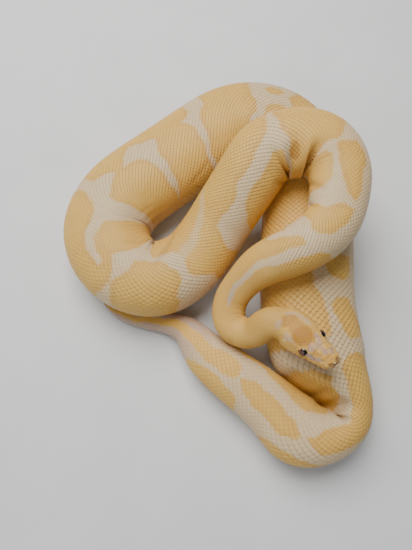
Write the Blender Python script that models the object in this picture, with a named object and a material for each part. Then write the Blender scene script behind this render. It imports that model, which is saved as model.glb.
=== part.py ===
"""Coiled ball python, life size: head, jaw, eyes, neck, trunk lengths and tail as closed solids.

The body is one long sweep. ROUTE lays it out from the nape to the tip of the tail, and every
section is a rounded oval that stands square to the route. The sweep is then made as separate
lengths with a thin gap between them. Lengths are in millimetres until a mesh is written.
"""
import math

import bmesh
import bpy
import numpy as np

MM = 0.001              # metres in a millimetre
GAP = 0.3               # clear space between two neighbouring solids
HEAD_SIDES = 24         # points round a head section
BODY_SIDES = 22         # points round a body section
RING_STEP = 14.0        # longest step between two body sections
RING_TURN = 0.34        # most that the route turns between two body sections, radians
FINE_STEP = 1.0         # step at which the route itself is worked out
MERGE = 1e-6            # points closer than this are one point, metres
SHARP_EDGE = math.radians(50.0)

# Head: place of the snout's tip, which way the head points, and how long it stays straight.
SNOUT = (80.4, -94.5, 66.5)
HEADING = math.radians(-48.0)
PITCH = math.radians(19.0)
STRAIGHT = 37.0
HEAD_LENGTH = 49.15
MOUTH_LENGTH = 39.0
MOUTH_LEVEL = -1.2      # height of the mouth line from the widest level of the head
JAW_SETBACK = 1.4       # how far the lower jaw ends behind the snout's tip

# Head outline: distance back from the snout, half width, crown above and chin below the
# widest level.
HEAD_PROFILE = (
    (0.0, 3.6, 1.9, 2.6),
    (1.6, 6.0, 3.4, 4.2),
    (4.0, 7.4, 4.6, 5.2),
    (8.0, 8.4, 6.0, 5.8),
    (14.0, 9.8, 7.9, 6.0),
    (20.0, 11.4, 9.6, 6.0),
    (27.0, 13.4, 10.9, 6.2),
    (34.0, 14.4, 11.4, 6.6),
    (40.0, 13.9, 11.2, 7.2),
    (46.0, 12.2, 10.2, 8.2),
    (52.0, 11.2, 9.2, 9.0),
)
HEAD_RINGS = (0.0, 0.5, 1.2, 2.4, 4.0, 6.5, 9.5, 13.0, 17.0, 21.0, 25.0, 29.0, 33.0, 36.5)
NAPE_RINGS = (39.02, 42.0, 45.5)

# Eyes: each is a ball sunk in the side of the head.
EYE_BACK = 20.0
EYE_SIDE = 8.0
EYE_UP = 3.6
EYE_RADIUS = 3.4
EYE_SIDES = 16

# Body route from the nape to the tail's tip: place, x, y, height of the widest level above
# the floor, width and tallness there.
ROUTE = (
    ("nape", 42, -63, 51, 23, 18),
    ("neck_low", 29, -68, 38, 22, 18),
    ("neck_bend", 16, -60, 31, 25, 21),
    ("neck_rise", 15, -44.5, 34, 25.5, 22),
    ("neck_side", 22.5, -33, 43, 25.5, 22),
    ("fore_1", 38, -22, 56, 32, 27),
    ("fore_2", 61, -14, 67, 36, 30),
    ("fore_3", 84, 3, 70, 39, 31),
    ("loop_right", 93, 28, 71, 43, 34),
    ("loop_shoulder", 93, 52, 71, 47, 38),
    ("loop_top", 82, 66.5, 72, 53, 40),
    ("loop_left", 61.5, 70.5, 70.5, 54, 41),
    ("loop_down", 44, 66, 66, 53, 40),
    ("cross_1", 32, 53, 59, 51, 41),
    ("cross_3", 6, 18, 37, 50, 40),
    ("coil_in", -12, -6, 28, 53, 42),
    ("coil_low", -43, -22, 27, 60, 46),
    ("coil_left", -71.5, -8.5, 27, 65, 50),
    ("coil_side", -82, 20, 26, 70, 53),
    ("back_1", -71.5, 47.5, 26, 71, 53),
    ("back_2", -51, 67, 26, 71, 53),
    ("back_3", -12, 98, 26, 72, 53),
    ("back_4", 30, 122.5, 26, 72, 53),
    ("under_1", 61.5, 115, 25, 73, 51),
    ("under_2", 77, 86, 25, 72, 51),
    ("rear_1", 77, 2, 25, 73, 51),
    ("rear_3", 78.5, -75, 24, 70, 49),
    ("rear_4", 85.5, -96, 23, 66, 47),
    ("fold_1", 96, -113, 21, 43, 43),
    ("fold_2", 98, -128, 20, 26.5, 41),
    ("fold_3", 84.5, -136, 19, 38, 39),
    ("hind_1", 63, -133, 18, 52, 37),
    ("hind_2", 47, -119, 17, 44.5, 35),
    ("hind_3", 16.5, -93, 16, 43, 33),
    ("vent", -4, -77, 14, 34, 27),
    ("tail_1", -18, -60.5, 10.5, 23, 20),
    ("tail_2", -34, -53.2, 6, 17, 12.5),
    ("tail_3", -52, -51, 4.7, 12.5, 9.5),
    ("tail_4", -73, -44.5, 3.4, 9, 7),
    ("tail_tip", -87, -35, 1.5, 3, 3),
)

# Body lengths: node and the place of the route at which it ends.
LENGTHS = (
    ("neck_front", "neck_low"),
    ("neck_bend", "neck_rise"),
    ("trunk_01", "fore_1"),
    ("trunk_02", "fore_3"),
    ("trunk_03", "loop_shoulder"),
    ("trunk_04", "loop_left"),
    ("trunk_05", "cross_1"),
    ("trunk_06", "cross_3"),
    ("trunk_07", "coil_low"),
    ("trunk_08", "coil_side"),
    ("trunk_09", "back_2"),
    ("trunk_10", "back_4"),
    ("trunk_11", "under_2"),
    ("trunk_12", "rear_1"),
    ("trunk_13", "rear_3"),
    ("trunk_14", "fold_1"),
    ("trunk_15", "fold_3"),
    ("trunk_16", "hind_1"),
    ("trunk_17", "hind_3"),
    ("trunk_18", "vent"),
    ("tail_base", "tail_2"),
    ("tail_end", "tail_tip"),
)

# Section shape: how square the back, the crown and the belly are (2 is an ellipse), and how
# much narrower the crown is than the lip line, as a part of the width.
BACK_POWER = 2.2
CROWN_POWER = 2.9
BELLY_POWER = 2.6
CROWN_TAPER = 0.2
SQUEEZE = 0.86          # inner flank's reach in a tight bend, as a part of the bend's radius
HEIGHT_BLEND = 16.0     # how far a change of height is spread along the route
SIZE_BLEND = 12.0       # how far a change of size is spread along the route
TURN_BLEND = 8.0        # how far a bend's sharpness is spread along the route
STRAIGHTEST = 1e-4      # bends gentler than this, in radians for each millimetre, count as this
HEAD_BLEND = 10.0       # length over which the head's outline passes into the neck's

# Where two lengths lie against each other both are pressed flat on one plane. For each such
# contact: the stretch on the plane's front, the stretch behind it, a point of the plane and
# the plane's normal.
CONTACTS = (
    (("rear_1", "fold_1"), ("fold_3", "hind_3"), (68.5, -107.0, 20.0), (0.50, 0.82, -0.28)),
)
CONTACT_SOFTNESS = 1.6  # how round the edge of a pressed flat is

SKIN_COLOUR = (0.80, 0.60, 0.34)
HEAD_COLOUR = (0.78, 0.52, 0.27)
JAW_COLOUR = (0.82, 0.62, 0.45)
TAIL_COLOUR = (0.82, 0.66, 0.36)
EYE_COLOUR = (0.05, 0.008, 0.006)
SKIN_ROUGHNESS = 0.45
EYE_ROUGHNESS = 0.08


def spline(knots, values, at, start_slope):
    """Cubic curve through the values, with the given slope at its start."""
    count = len(knots)
    gaps = np.diff(knots)
    matrix = np.eye(count)
    target = np.zeros((count,) + values.shape[1:])
    for i in range(1, count - 1):
        matrix[i, i - 1:i + 2] = gaps[i - 1], 2 * (gaps[i - 1] + gaps[i]), gaps[i]
        rise = (values[i + 1] - values[i]) / gaps[i]
        target[i] = 6 * (rise - (values[i] - values[i - 1]) / gaps[i - 1])
    if start_slope is not None:
        matrix[0, :2] = 2 * gaps[0], gaps[0]
        target[0] = 6 * ((values[1] - values[0]) / gaps[0] - start_slope)
    bend = np.linalg.solve(matrix, target)
    span = np.clip(np.searchsorted(knots, at) - 1, 0, count - 2)
    column = (slice(None),) + (None,) * (values.ndim - 1)
    gap = gaps[span][column]
    after = (knots[span + 1] - at)[column]
    before = (at - knots[span])[column]
    curve = (bend[span] * after ** 3 + bend[span + 1] * before ** 3) / (6 * gap)
    curve += (values[span] / gap - bend[span] * gap / 6) * after
    return curve + (values[span + 1] / gap - bend[span + 1] * gap / 6) * before


def spread(values, step, reach):
    """Round the corners of a row of values over a reach along the route."""
    half = max(1, int(round(reach / step)))
    weights = np.hanning(2 * half + 3)[1:-1]
    weights /= weights.sum()
    start = 2 * values[0] - values[half:0:-1]
    end = 2 * values[-1] - values[-2:-half - 2:-1]
    return np.convolve(np.concatenate([start, values, end]), weights, "valid")


def along(points):
    """Distance run from the first point to each point."""
    steps = np.linalg.norm(np.diff(points, axis=0), axis=1)
    return np.concatenate([[0.0], np.cumsum(steps)])


class Body:
    """The route at fine steps, with its directions and sizes."""

    def __init__(self):
        forward = np.array([math.cos(HEADING), math.sin(HEADING)])
        tip = np.array(SNOUT)
        base = tip.copy()
        base[:2] -= forward * STRAIGHT * math.cos(PITCH)
        base[2] -= STRAIGHT * math.sin(PITCH)
        places = np.array([row[1:4] for row in ROUTE], float)
        knots_at = np.vstack([base, places])
        knots = along(knots_at)
        reach = np.linspace(0.0, knots[-1], int(knots[-1] / FINE_STEP) + 1)
        plan = spline(knots, knots_at[:, :2], reach, -forward * math.cos(PITCH))
        height = np.interp(reach, knots, knots_at[:, 2])
        share = np.linspace(0.0, 1.0, int(STRAIGHT / FINE_STEP), endpoint=False)[:, None]
        points = np.vstack([tip + (base - tip) * share, np.column_stack([plan, height])])
        run = along(points)
        place_run = np.interp(knots[1:], reach, run[len(share):])
        self.run = np.linspace(0.0, run[-1], int(run[-1] / FINE_STEP) + 1)
        self.places = dict(zip((row[0] for row in ROUTE), place_run))
        even = np.column_stack([np.interp(self.run, run, points[:, i]) for i in range(3)])
        step = self.run[1]
        even[:, 2] = spread(even[:, 2], step, HEIGHT_BLEND)
        self.points = even
        self.forward = np.gradient(even, self.run, axis=0)
        self.forward /= np.linalg.norm(self.forward, axis=1)[:, None]
        side = np.column_stack([-self.forward[:, 1], self.forward[:, 0], 0 * self.run])
        self.side = side / np.linalg.norm(side, axis=1)[:, None]
        self.up = np.cross(self.forward, self.side)
        turn = np.unwrap(np.arctan2(self.forward[:, 1], self.forward[:, 0]))
        self.turn = spread(np.gradient(turn, self.run), step, TURN_BLEND)
        sizes = np.array([row[4:6] for row in ROUTE], float) / 2
        head = np.array(HEAD_PROFILE)
        self.half_width = self.blend(head[:, 0], head[:, 1], place_run, sizes[:, 0])
        self.above = self.blend(head[:, 0], head[:, 2], place_run, sizes[:, 1])
        self.below = self.blend(head[:, 0], head[:, 3], place_run, sizes[:, 1])

    def blend(self, head_at, head_values, body_at, body_values):
        """A size along the whole animal: the head's outline, then the body's."""
        body = spread(np.interp(self.run, body_at, body_values), self.run[1], SIZE_BLEND)
        head = spline(head_at, head_values, np.clip(self.run, 0.0, head_at[-1]), None)
        mix = np.clip((self.run - head_at[-1]) / HEAD_BLEND + 1, 0.0, 1.0)
        mix = mix * mix * (3 - 2 * mix)
        return head * (1 - mix) + body * mix

    def read(self, values, at):
        """Read a row of values, or of vectors, at distances along the route."""
        if values.ndim == 1:
            return np.interp(at, self.run, values)
        return np.column_stack([np.interp(at, self.run, column) for column in values.T])

    def rings(self, at, sides):
        """Section outlines at the given distances: an array of rings by sides by 3."""
        angle = np.linspace(0.0, 2 * math.pi, sides, endpoint=False)
        cos, sin = np.cos(angle), np.sin(angle)
        head = np.clip((HEAD_LENGTH - at) / HEAD_BLEND, 0.0, 1.0)[:, None]
        crown = BACK_POWER + (CROWN_POWER - BACK_POWER) * head
        power = 2 / np.where(sin >= 0, crown, BELLY_POWER)
        across = np.sign(cos) * np.abs(cos) ** power
        upward = np.sign(sin) * np.abs(sin) ** power
        across *= 1 - CROWN_TAPER * head * np.maximum(upward, 0.0)
        turn = self.read(self.turn, at)
        half = self.read(self.half_width, at)
        inner = np.minimum(half, SQUEEZE / np.maximum(np.abs(turn), STRAIGHTEST))
        left = np.where(turn > 0, inner, half)[:, None]
        right = np.where(turn < 0, inner, half)[:, None]
        reach = np.where(across > 0, left, right) * across
        above = self.read(self.above, at)[:, None]
        below = self.read(self.below, at)[:, None]
        rise = np.where(upward >= 0, above, below) * upward
        centre = self.read(self.points, at)[:, None, :]
        side = self.read(self.side, at)[:, None, :]
        up = self.read(self.up, at)[:, None, :]
        rings = centre + side * reach[:, :, None] + up * rise[:, :, None]
        return self.settle(rings, at)

    def settle(self, rings, at):
        """Press the sections flat on the floor and where two lengths meet."""
        forward = self.read(self.forward, at)
        for front, back, point, normal in CONTACTS:
            for (first, last), facing in ((front, 1), (back, -1)):
                low, high = self.places[first], self.places[last]
                share = np.clip(np.minimum(at - low, high - at) / HEAD_BLEND + 1, 0, 1)
                plane = np.array(normal) / np.linalg.norm(normal) * facing
                level = np.dot(point, plane) + GAP / 2
                rings = press(rings, forward, plane, level, CONTACT_SOFTNESS, share)
        return press(rings, forward, np.array([0.0, 0.0, 1.0]), 0.0, 0.0, np.ones(len(at)))


def press(rings, forward, plane, level, softness, share):
    """Keep sections on the front of a plane, each moved only within its own flat."""
    depth = rings @ plane - level
    if softness > 0:
        kept = softness * np.logaddexp(0.0, depth / softness)
    else:
        kept = np.maximum(depth, 0.0)
    slope = forward @ plane
    within = plane - slope[:, None] * forward
    within *= (share / (within ** 2).sum(axis=1))[:, None]
    return rings + (kept - depth)[:, :, None] * within[:, None, :]


def stations(body, start, end):
    """Distances for the rings of one length: closer together where the route turns."""
    need = np.abs(body.turn) / RING_TURN + 1 / RING_STEP
    count = np.concatenate([[0.0], np.cumsum((need[1:] + need[:-1]) / 2 * np.diff(body.run))])
    first, last = np.interp([start, end], body.run, count)
    steps = max(2, math.ceil(last - first))
    return np.interp(np.linspace(first, last, steps + 1), count, body.run)


def material(name, colour, roughness):
    """A plain surface for one node."""
    made = bpy.data.materials.new(name)
    made.use_nodes = True
    shader = made.node_tree.nodes["Principled BSDF"]
    shader.inputs["Base Color"].default_value = (*colour, 1.0)
    shader.inputs["Roughness"].default_value = roughness
    shader.inputs["Metallic"].default_value = 0.0
    return made


def finish(mesh_builder, name, colour, roughness):
    """Turn a bmesh into a named, smooth shaded object with its own material."""
    bmesh.ops.recalc_face_normals(mesh_builder, faces=mesh_builder.faces)
    mesh = bpy.data.meshes.new(name)
    mesh_builder.to_mesh(mesh)
    mesh_builder.free()
    mesh.shade_smooth()
    mesh.set_sharp_from_angle(angle=SHARP_EDGE)
    mesh.materials.append(material(name, colour, roughness))
    made = bpy.data.objects.new(name, mesh)
    bpy.context.collection.objects.link(made)
    return made


def skin_over(name, rings, colour, roughness):
    """A closed solid over a row of section outlines."""
    count, sides = rings.shape[:2]
    built = bmesh.new()
    bmesh.ops.create_grid(built, x_segments=sides, y_segments=count - 1, size=1.0)
    built.verts.ensure_lookup_table()
    for index, vertex in enumerate(built.verts):
        row, column = divmod(index, sides + 1)
        vertex.co = rings[row, column % sides] * MM
    bmesh.ops.remove_doubles(built, verts=built.verts, dist=MERGE)
    bmesh.ops.holes_fill(built, edges=built.edges, sides=0)
    return finish(built, name, colour, roughness)


def make_head(body):
    """The head above the mouth line, whole behind the mouth's corner."""
    back = np.array(HEAD_RINGS + (MOUTH_LENGTH,))
    upper = body.rings(back, HEAD_SIDES)
    clip_to_mouth(body, upper, back, above=True)
    behind = body.rings(np.array(NAPE_RINGS + (HEAD_LENGTH,)), HEAD_SIDES)
    behind[-1] -= body.read(body.forward, np.array([HEAD_LENGTH]))[0] * GAP / 2
    head = skin_over("head", np.concatenate([upper, behind]), HEAD_COLOUR, SKIN_ROUGHNESS)
    for name, centre in eye_centres(body):
        cutter = ball("socket_" + name, centre, EYE_RADIUS + GAP)
        cutter.hide_render = True
        cutter.display_type = "WIRE"
        cut = head.modifiers.new("socket_" + name, "BOOLEAN")
        cut.operation = "DIFFERENCE"
        cut.solver = "EXACT"
        cut.object = cutter


def make_jaw(body):
    """The lower jaw, below the mouth line."""
    back = np.array([JAW_SETBACK] + [at for at in HEAD_RINGS if at > JAW_SETBACK])
    back = np.append(back, MOUTH_LENGTH)
    lower = body.rings(back, HEAD_SIDES)
    lower[-1] -= body.read(body.forward, back[-1:])[0] * GAP
    clip_to_mouth(body, lower, back, above=False)
    skin_over("lower_jaw", lower, JAW_COLOUR, SKIN_ROUGHNESS)


def clip_to_mouth(body, rings, at, above):
    """Keep only what lies above, or below, the mouth line."""
    centre = body.read(body.points, at)[:, None, :]
    up = body.read(body.up, at)[:, None, :]
    level = ((rings - centre) * up).sum(axis=2)
    edge = MOUTH_LEVEL + (GAP / 2 if above else -GAP / 2)
    kept = np.maximum(level, edge) if above else np.minimum(level, edge)
    rings += (kept - level)[:, :, None] * up


def eye_centres(body):
    """Name and centre of each eye, from the head's own directions."""
    at = np.array([EYE_BACK])
    centre = body.read(body.points, at)[0] + body.read(body.up, at)[0] * EYE_UP
    side = body.read(body.side, at)[0]
    return (("eye_right", centre + side * EYE_SIDE), ("eye_left", centre - side * EYE_SIDE))


def ball(name, centre, radius):
    """A closed sphere, for an eye or to cut the socket round it."""
    built = bmesh.new()
    bmesh.ops.create_uvsphere(built, u_segments=EYE_SIDES, v_segments=EYE_SIDES // 2,
                              radius=radius * MM)
    bmesh.ops.translate(built, verts=built.verts, vec=centre * MM)
    return finish(built, name, EYE_COLOUR, EYE_ROUGHNESS)


def make_eyes(body):
    """A ball for each eye."""
    for name, centre in eye_centres(body):
        ball(name, centre, EYE_RADIUS)


def make_lengths(body):
    """Neck, trunk and tail, one solid for each length."""
    start = HEAD_LENGTH
    for name, place in LENGTHS:
        end = body.places[place]
        at = stations(body, start, end)
        rings = body.rings(at, BODY_SIDES)
        forward = body.read(body.forward, at)
        rings[0] += forward[0] * GAP / 2
        rings[-1] -= forward[-1] * GAP / 2
        rings[:, :, 2] = np.maximum(rings[:, :, 2], 0.0)
        colour = TAIL_COLOUR if name.startswith("tail") else SKIN_COLOUR
        skin_over(name, rings, colour, SKIN_ROUGHNESS)
        start = end


def main():
    """Clear the scene and make every node."""
    for old in list(bpy.data.objects):
        bpy.data.objects.remove(old, do_unlink=True)
    body = Body()
    make_head(body)
    make_jaw(body)
    make_eyes(body)
    make_lengths(body)


main()
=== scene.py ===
"""Looks of the coiled ball python: skin, scales, head shields, belly scutes, eyes and stage.

The body is one sweep along a route, as its CAD lengths are. A fine skin lies just inside that
sweep, and solid scales lie on the skin. Lengths are in millimetres until a mesh is written.
"""

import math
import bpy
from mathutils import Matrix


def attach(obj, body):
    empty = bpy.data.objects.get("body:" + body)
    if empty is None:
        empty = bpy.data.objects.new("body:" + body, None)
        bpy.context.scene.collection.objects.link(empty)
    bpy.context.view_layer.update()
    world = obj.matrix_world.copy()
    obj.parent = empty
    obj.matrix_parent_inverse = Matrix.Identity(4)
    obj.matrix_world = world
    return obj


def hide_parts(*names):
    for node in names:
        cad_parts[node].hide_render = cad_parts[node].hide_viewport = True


bl_info = {
    "name": "Ball Python",
    "version": (1, 0, 0),
    "blender": (4, 5, 0),
    "location": "View3D > Sidebar > Python",
    "description": "Skin, scales and eyes of a coiled ball python, built over its CAD lengths",
    "category": "Mesh",
}

from functools import lru_cache

import bmesh
import bpy
import numpy as np
from bpy.props import FloatProperty, FloatVectorProperty, PointerProperty
from mathutils import Vector

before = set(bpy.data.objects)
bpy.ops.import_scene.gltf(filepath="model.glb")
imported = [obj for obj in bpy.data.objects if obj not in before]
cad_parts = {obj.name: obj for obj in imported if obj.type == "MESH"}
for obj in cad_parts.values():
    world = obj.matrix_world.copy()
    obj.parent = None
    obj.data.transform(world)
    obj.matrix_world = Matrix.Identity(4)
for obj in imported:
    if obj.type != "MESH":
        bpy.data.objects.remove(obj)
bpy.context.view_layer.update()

MM = 0.001              # metres in a millimetre
GAP = 0.3               # clear space between two neighbouring lengths
FINE_STEP = 1.0         # step at which the route itself is worked out
MERGE = 1e-7            # points closer than this are one point, metres
BODY = "root"
BAKE_MAP = "OFBake"
FAR = 99.0              # stands for a place well outside an outline

# Head: place of the snout's tip, which way the head points, and how long it stays straight.
SNOUT = (80.4, -94.5, 66.5)
HEADING = math.radians(-48.0)
PITCH = math.radians(19.0)
STRAIGHT = 37.0
HEAD_LENGTH = 49.15
MOUTH_LENGTH = 39.0
MOUTH_LEVEL = -1.2      # height of the mouth line from the widest level of the head
JAW_SETBACK = 1.4       # how far the lower jaw ends behind the snout's tip

# Head outline: distance back from the snout, half width, crown above and chin below the
# widest level.
HEAD_PROFILE = (
    (0.0, 3.6, 1.9, 2.6),
    (1.6, 6.0, 3.4, 4.2),
    (4.0, 7.4, 4.6, 5.2),
    (8.0, 8.4, 6.0, 5.8),
    (14.0, 9.8, 7.9, 6.0),
    (20.0, 11.4, 9.6, 6.0),
    (27.0, 13.4, 10.9, 6.2),
    (34.0, 14.4, 11.4, 6.6),
    (40.0, 13.9, 11.2, 7.2),
    (46.0, 12.2, 10.2, 8.2),
    (52.0, 11.2, 9.2, 9.0),
)

# Eyes: each is a ball sunk in the side of the head.
EYE_BACK = 20.0
EYE_SIDE = 8.0
EYE_UP = 3.6
EYE_RADIUS = 3.4

# Body route from the nape to the tail's tip: place, x, y, height of the widest level above
# the floor, width and tallness there.
ROUTE = (
    ("nape", 42, -63, 51, 23, 18),
    ("neck_low", 29, -68, 38, 22, 18),
    ("neck_bend", 16, -60, 31, 25, 21),
    ("neck_rise", 15, -44.5, 34, 25.5, 22),
    ("neck_side", 22.5, -33, 43, 25.5, 22),
    ("fore_1", 38, -22, 56, 32, 27),
    ("fore_2", 61, -14, 67, 36, 30),
    ("fore_3", 84, 3, 70, 39, 31),
    ("loop_right", 93, 28, 71, 43, 34),
    ("loop_shoulder", 93, 52, 71, 47, 38),
    ("loop_top", 82, 66.5, 72, 53, 40),
    ("loop_left", 61.5, 70.5, 70.5, 54, 41),
    ("loop_down", 44, 66, 66, 53, 40),
    ("cross_1", 32, 53, 59, 51, 41),
    ("cross_3", 6, 18, 37, 50, 40),
    ("coil_in", -12, -6, 28, 53, 42),
    ("coil_low", -43, -22, 27, 60, 46),
    ("coil_left", -71.5, -8.5, 27, 65, 50),
    ("coil_side", -82, 20, 26, 70, 53),
    ("back_1", -71.5, 47.5, 26, 71, 53),
    ("back_2", -51, 67, 26, 71, 53),
    ("back_3", -12, 98, 26, 72, 53),
    ("back_4", 30, 122.5, 26, 72, 53),
    ("under_1", 61.5, 115, 25, 73, 51),
    ("under_2", 77, 86, 25, 72, 51),
    ("rear_1", 77, 2, 25, 73, 51),
    ("rear_3", 78.5, -75, 24, 70, 49),
    ("rear_4", 85.5, -96, 23, 66, 47),
    ("fold_1", 96, -113, 21, 43, 43),
    ("fold_2", 98, -128, 20, 26.5, 41),
    ("fold_3", 84.5, -136, 19, 38, 39),
    ("hind_1", 63, -133, 18, 52, 37),
    ("hind_2", 47, -119, 17, 44.5, 35),
    ("hind_3", 16.5, -93, 16, 43, 33),
    ("vent", -4, -77, 14, 34, 27),
    ("tail_1", -18, -60.5, 10.5, 23, 20),
    ("tail_2", -34, -53.2, 6, 17, 12.5),
    ("tail_3", -52, -51, 4.7, 12.5, 9.5),
    ("tail_4", -73, -44.5, 3.4, 9, 7),
    ("tail_tip", -87, -35, 1.5, 3, 3),
)

# Section shape: how square the back, the crown and the belly are (2 is an ellipse), and how
# much narrower the crown is than the lip line, as a part of the width.
BACK_POWER = 2.2
CROWN_POWER = 2.9
BELLY_POWER = 2.6
CROWN_TAPER = 0.2
SQUEEZE = 0.86          # inner flank's reach in a tight bend, as a part of the bend's radius
HEIGHT_BLEND = 16.0     # how far a change of height is spread along the route
SIZE_BLEND = 12.0       # how far a change of size is spread along the route
TURN_BLEND = 8.0        # how far a bend's sharpness is spread along the route
STRAIGHTEST = 1e-4      # bends gentler than this, in radians for each millimetre, count as this
HEAD_BLEND = 10.0       # length over which the head's outline passes into the neck's

# Where two lengths lie against each other both are pressed flat on one plane. For each such
# contact: the stretch on the plane's front, the stretch behind it, a point of the plane and
# the plane's normal.
CONTACTS = (
    (("rear_1", "fold_1"), ("fold_3", "hind_3"), (68.5, -107.0, 20.0), (0.50, 0.82, -0.28)),
)
CONTACT_SOFTNESS = 1.6  # how round the edge of a pressed flat is

# Skin: points round a worked-out section, columns round the body, how far apart the rows are
# on the head and behind it, and how far the skin lies below the outside of the coat.
OUTLINE_SIDES = 360
COLUMNS = 144
HEAD_ROW = 0.6
TRUNK_ROW = 2.3
COAT_DEPTH = 0.4
END_CAP = (0.0, 0.4, 0.75)      # sizes of the extra rings that close a blunt end
TAIL_ROUND = 5.0        # length over which the tail's tip rounds off
TAIL_LEAST = 0.02       # least area of section left at the tip, as a part
LIP_STEP = 0.25         # half the height over which the upper lip steps back to the jaw
JAW_FADE = 8.0          # length over which the jaw's set-back dies out at the mouth's corner

# Folds pressed into the skin: where each starts and ends, as distance along the route and
# angle from the middle of the back in degrees (positive on the animal's left), half width
# and depth.
FOLDS = (
    (291, -20, 301, -72, 7.0, 2.8),
    (298, -58, 310, -104, 5.0, 1.8),
    (222, -38, 236, -112, 2.2, 1.0),
    (203, -48, 212, -95, 2.2, 1.1),
    (262, -32, 252, -115, 2.6, 1.1),
    (268, -26, 272, -104, 5.5, 1.8),
    (330, -60, 322, -115, 2.4, 1.0),
    (405, 60, 441, 8, 2.4, 1.3),
    (456, 72, 463, 36, 2.6, 1.1),
    (463, 36, 477, 20, 2.2, 0.8),
    (512, 76, 566, 88, 1.6, 0.6),
    (516, 62, 560, 72, 1.6, 0.5),
    (522, 48, 548, 56, 1.6, 0.4),
    (586, 68, 612, 48, 1.8, 0.5),
    (908, 16, 911, 125, 2.2, 0.9),
    (925, 18, 924, 125, 2.6, 1.3),
    (934, 26, 936, 120, 2.2, 0.9),
    (943, 40, 950, 110, 2.4, 1.0),
    (957, 60, 963, 120, 2.2, 0.7),
    (74, -50, 71, -115, 1.4, 0.6),
    (82, -56, 80, -118, 1.4, 0.5),
    (63, 52, 67, 112, 1.4, 0.5),
    (88, 58, 88, 118, 1.2, 0.4),
)
FOLD_ENDS = 0.35        # depth of a fold at its ends, as a part of its greatest depth
FOLD_TAPER = (0.03, 0.97)       # parts of a fold's length between which its depth changes
FOLD_SHADE = 0.38       # how dark the painted shade at the bottom of a fold is
WRINKLE_PITCH = 3.4     # distance between the fine wrinkles inside a bend, before it is bent
WRINKLE_DEPTH = 0.35
WRINKLE_SWAY = 0.9      # how far a wrinkle wanders, in radians of its wave
SWAY_LENGTH = 4.0       # distance round the body over which it wanders
# painted shade in the troughs of the wrinkles
WRINKLE_SHADE = 0.25
CROWDED = (0.85, 0.35)  # how much of the skin's length is left where wrinkles begin, and are full

# Hollows in the head: distance back, angle from the middle of the crown (on both sides),
# half length, half height, depth.
HOLLOWS = (
    ("nostril", 7.0, 45, 0.95, 0.75, 1.3),
    ("nose dip", 10.5, 34, 3.0, 1.8, 0.35),
    ("lore", 12.5, 70, 4.2, 1.7, 0.75),
    ("crown groove", 14.0, 0, 7.0, 1.0, 0.30),
    ("behind the eye", 28.0, 72, 5.0, 2.0, 0.40),
    ("temple", 38.0, 62, 6.0, 3.0, 0.35),
    ("front pit", 0.55, 33, 0.75, 1.25, 0.75),
    ("second pit", 3.6, 84, 0.65, 0.8, 0.5),
    ("third pit", 6.8, 87, 0.65, 0.7, 0.4),
)
MOUTH_WIDTH = 0.55      # half height of the closed mouth's line
MOUTH_DEPTH = 0.9
MOUTH_FADE = 34.0       # where its line begins to fade towards the mouth's corner
# painted shade along the mouth's line
MOUTH_SHADE = 0.8
MOUTH_SEARCH = 60.0     # the mouth's level is looked for in front of this

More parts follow.
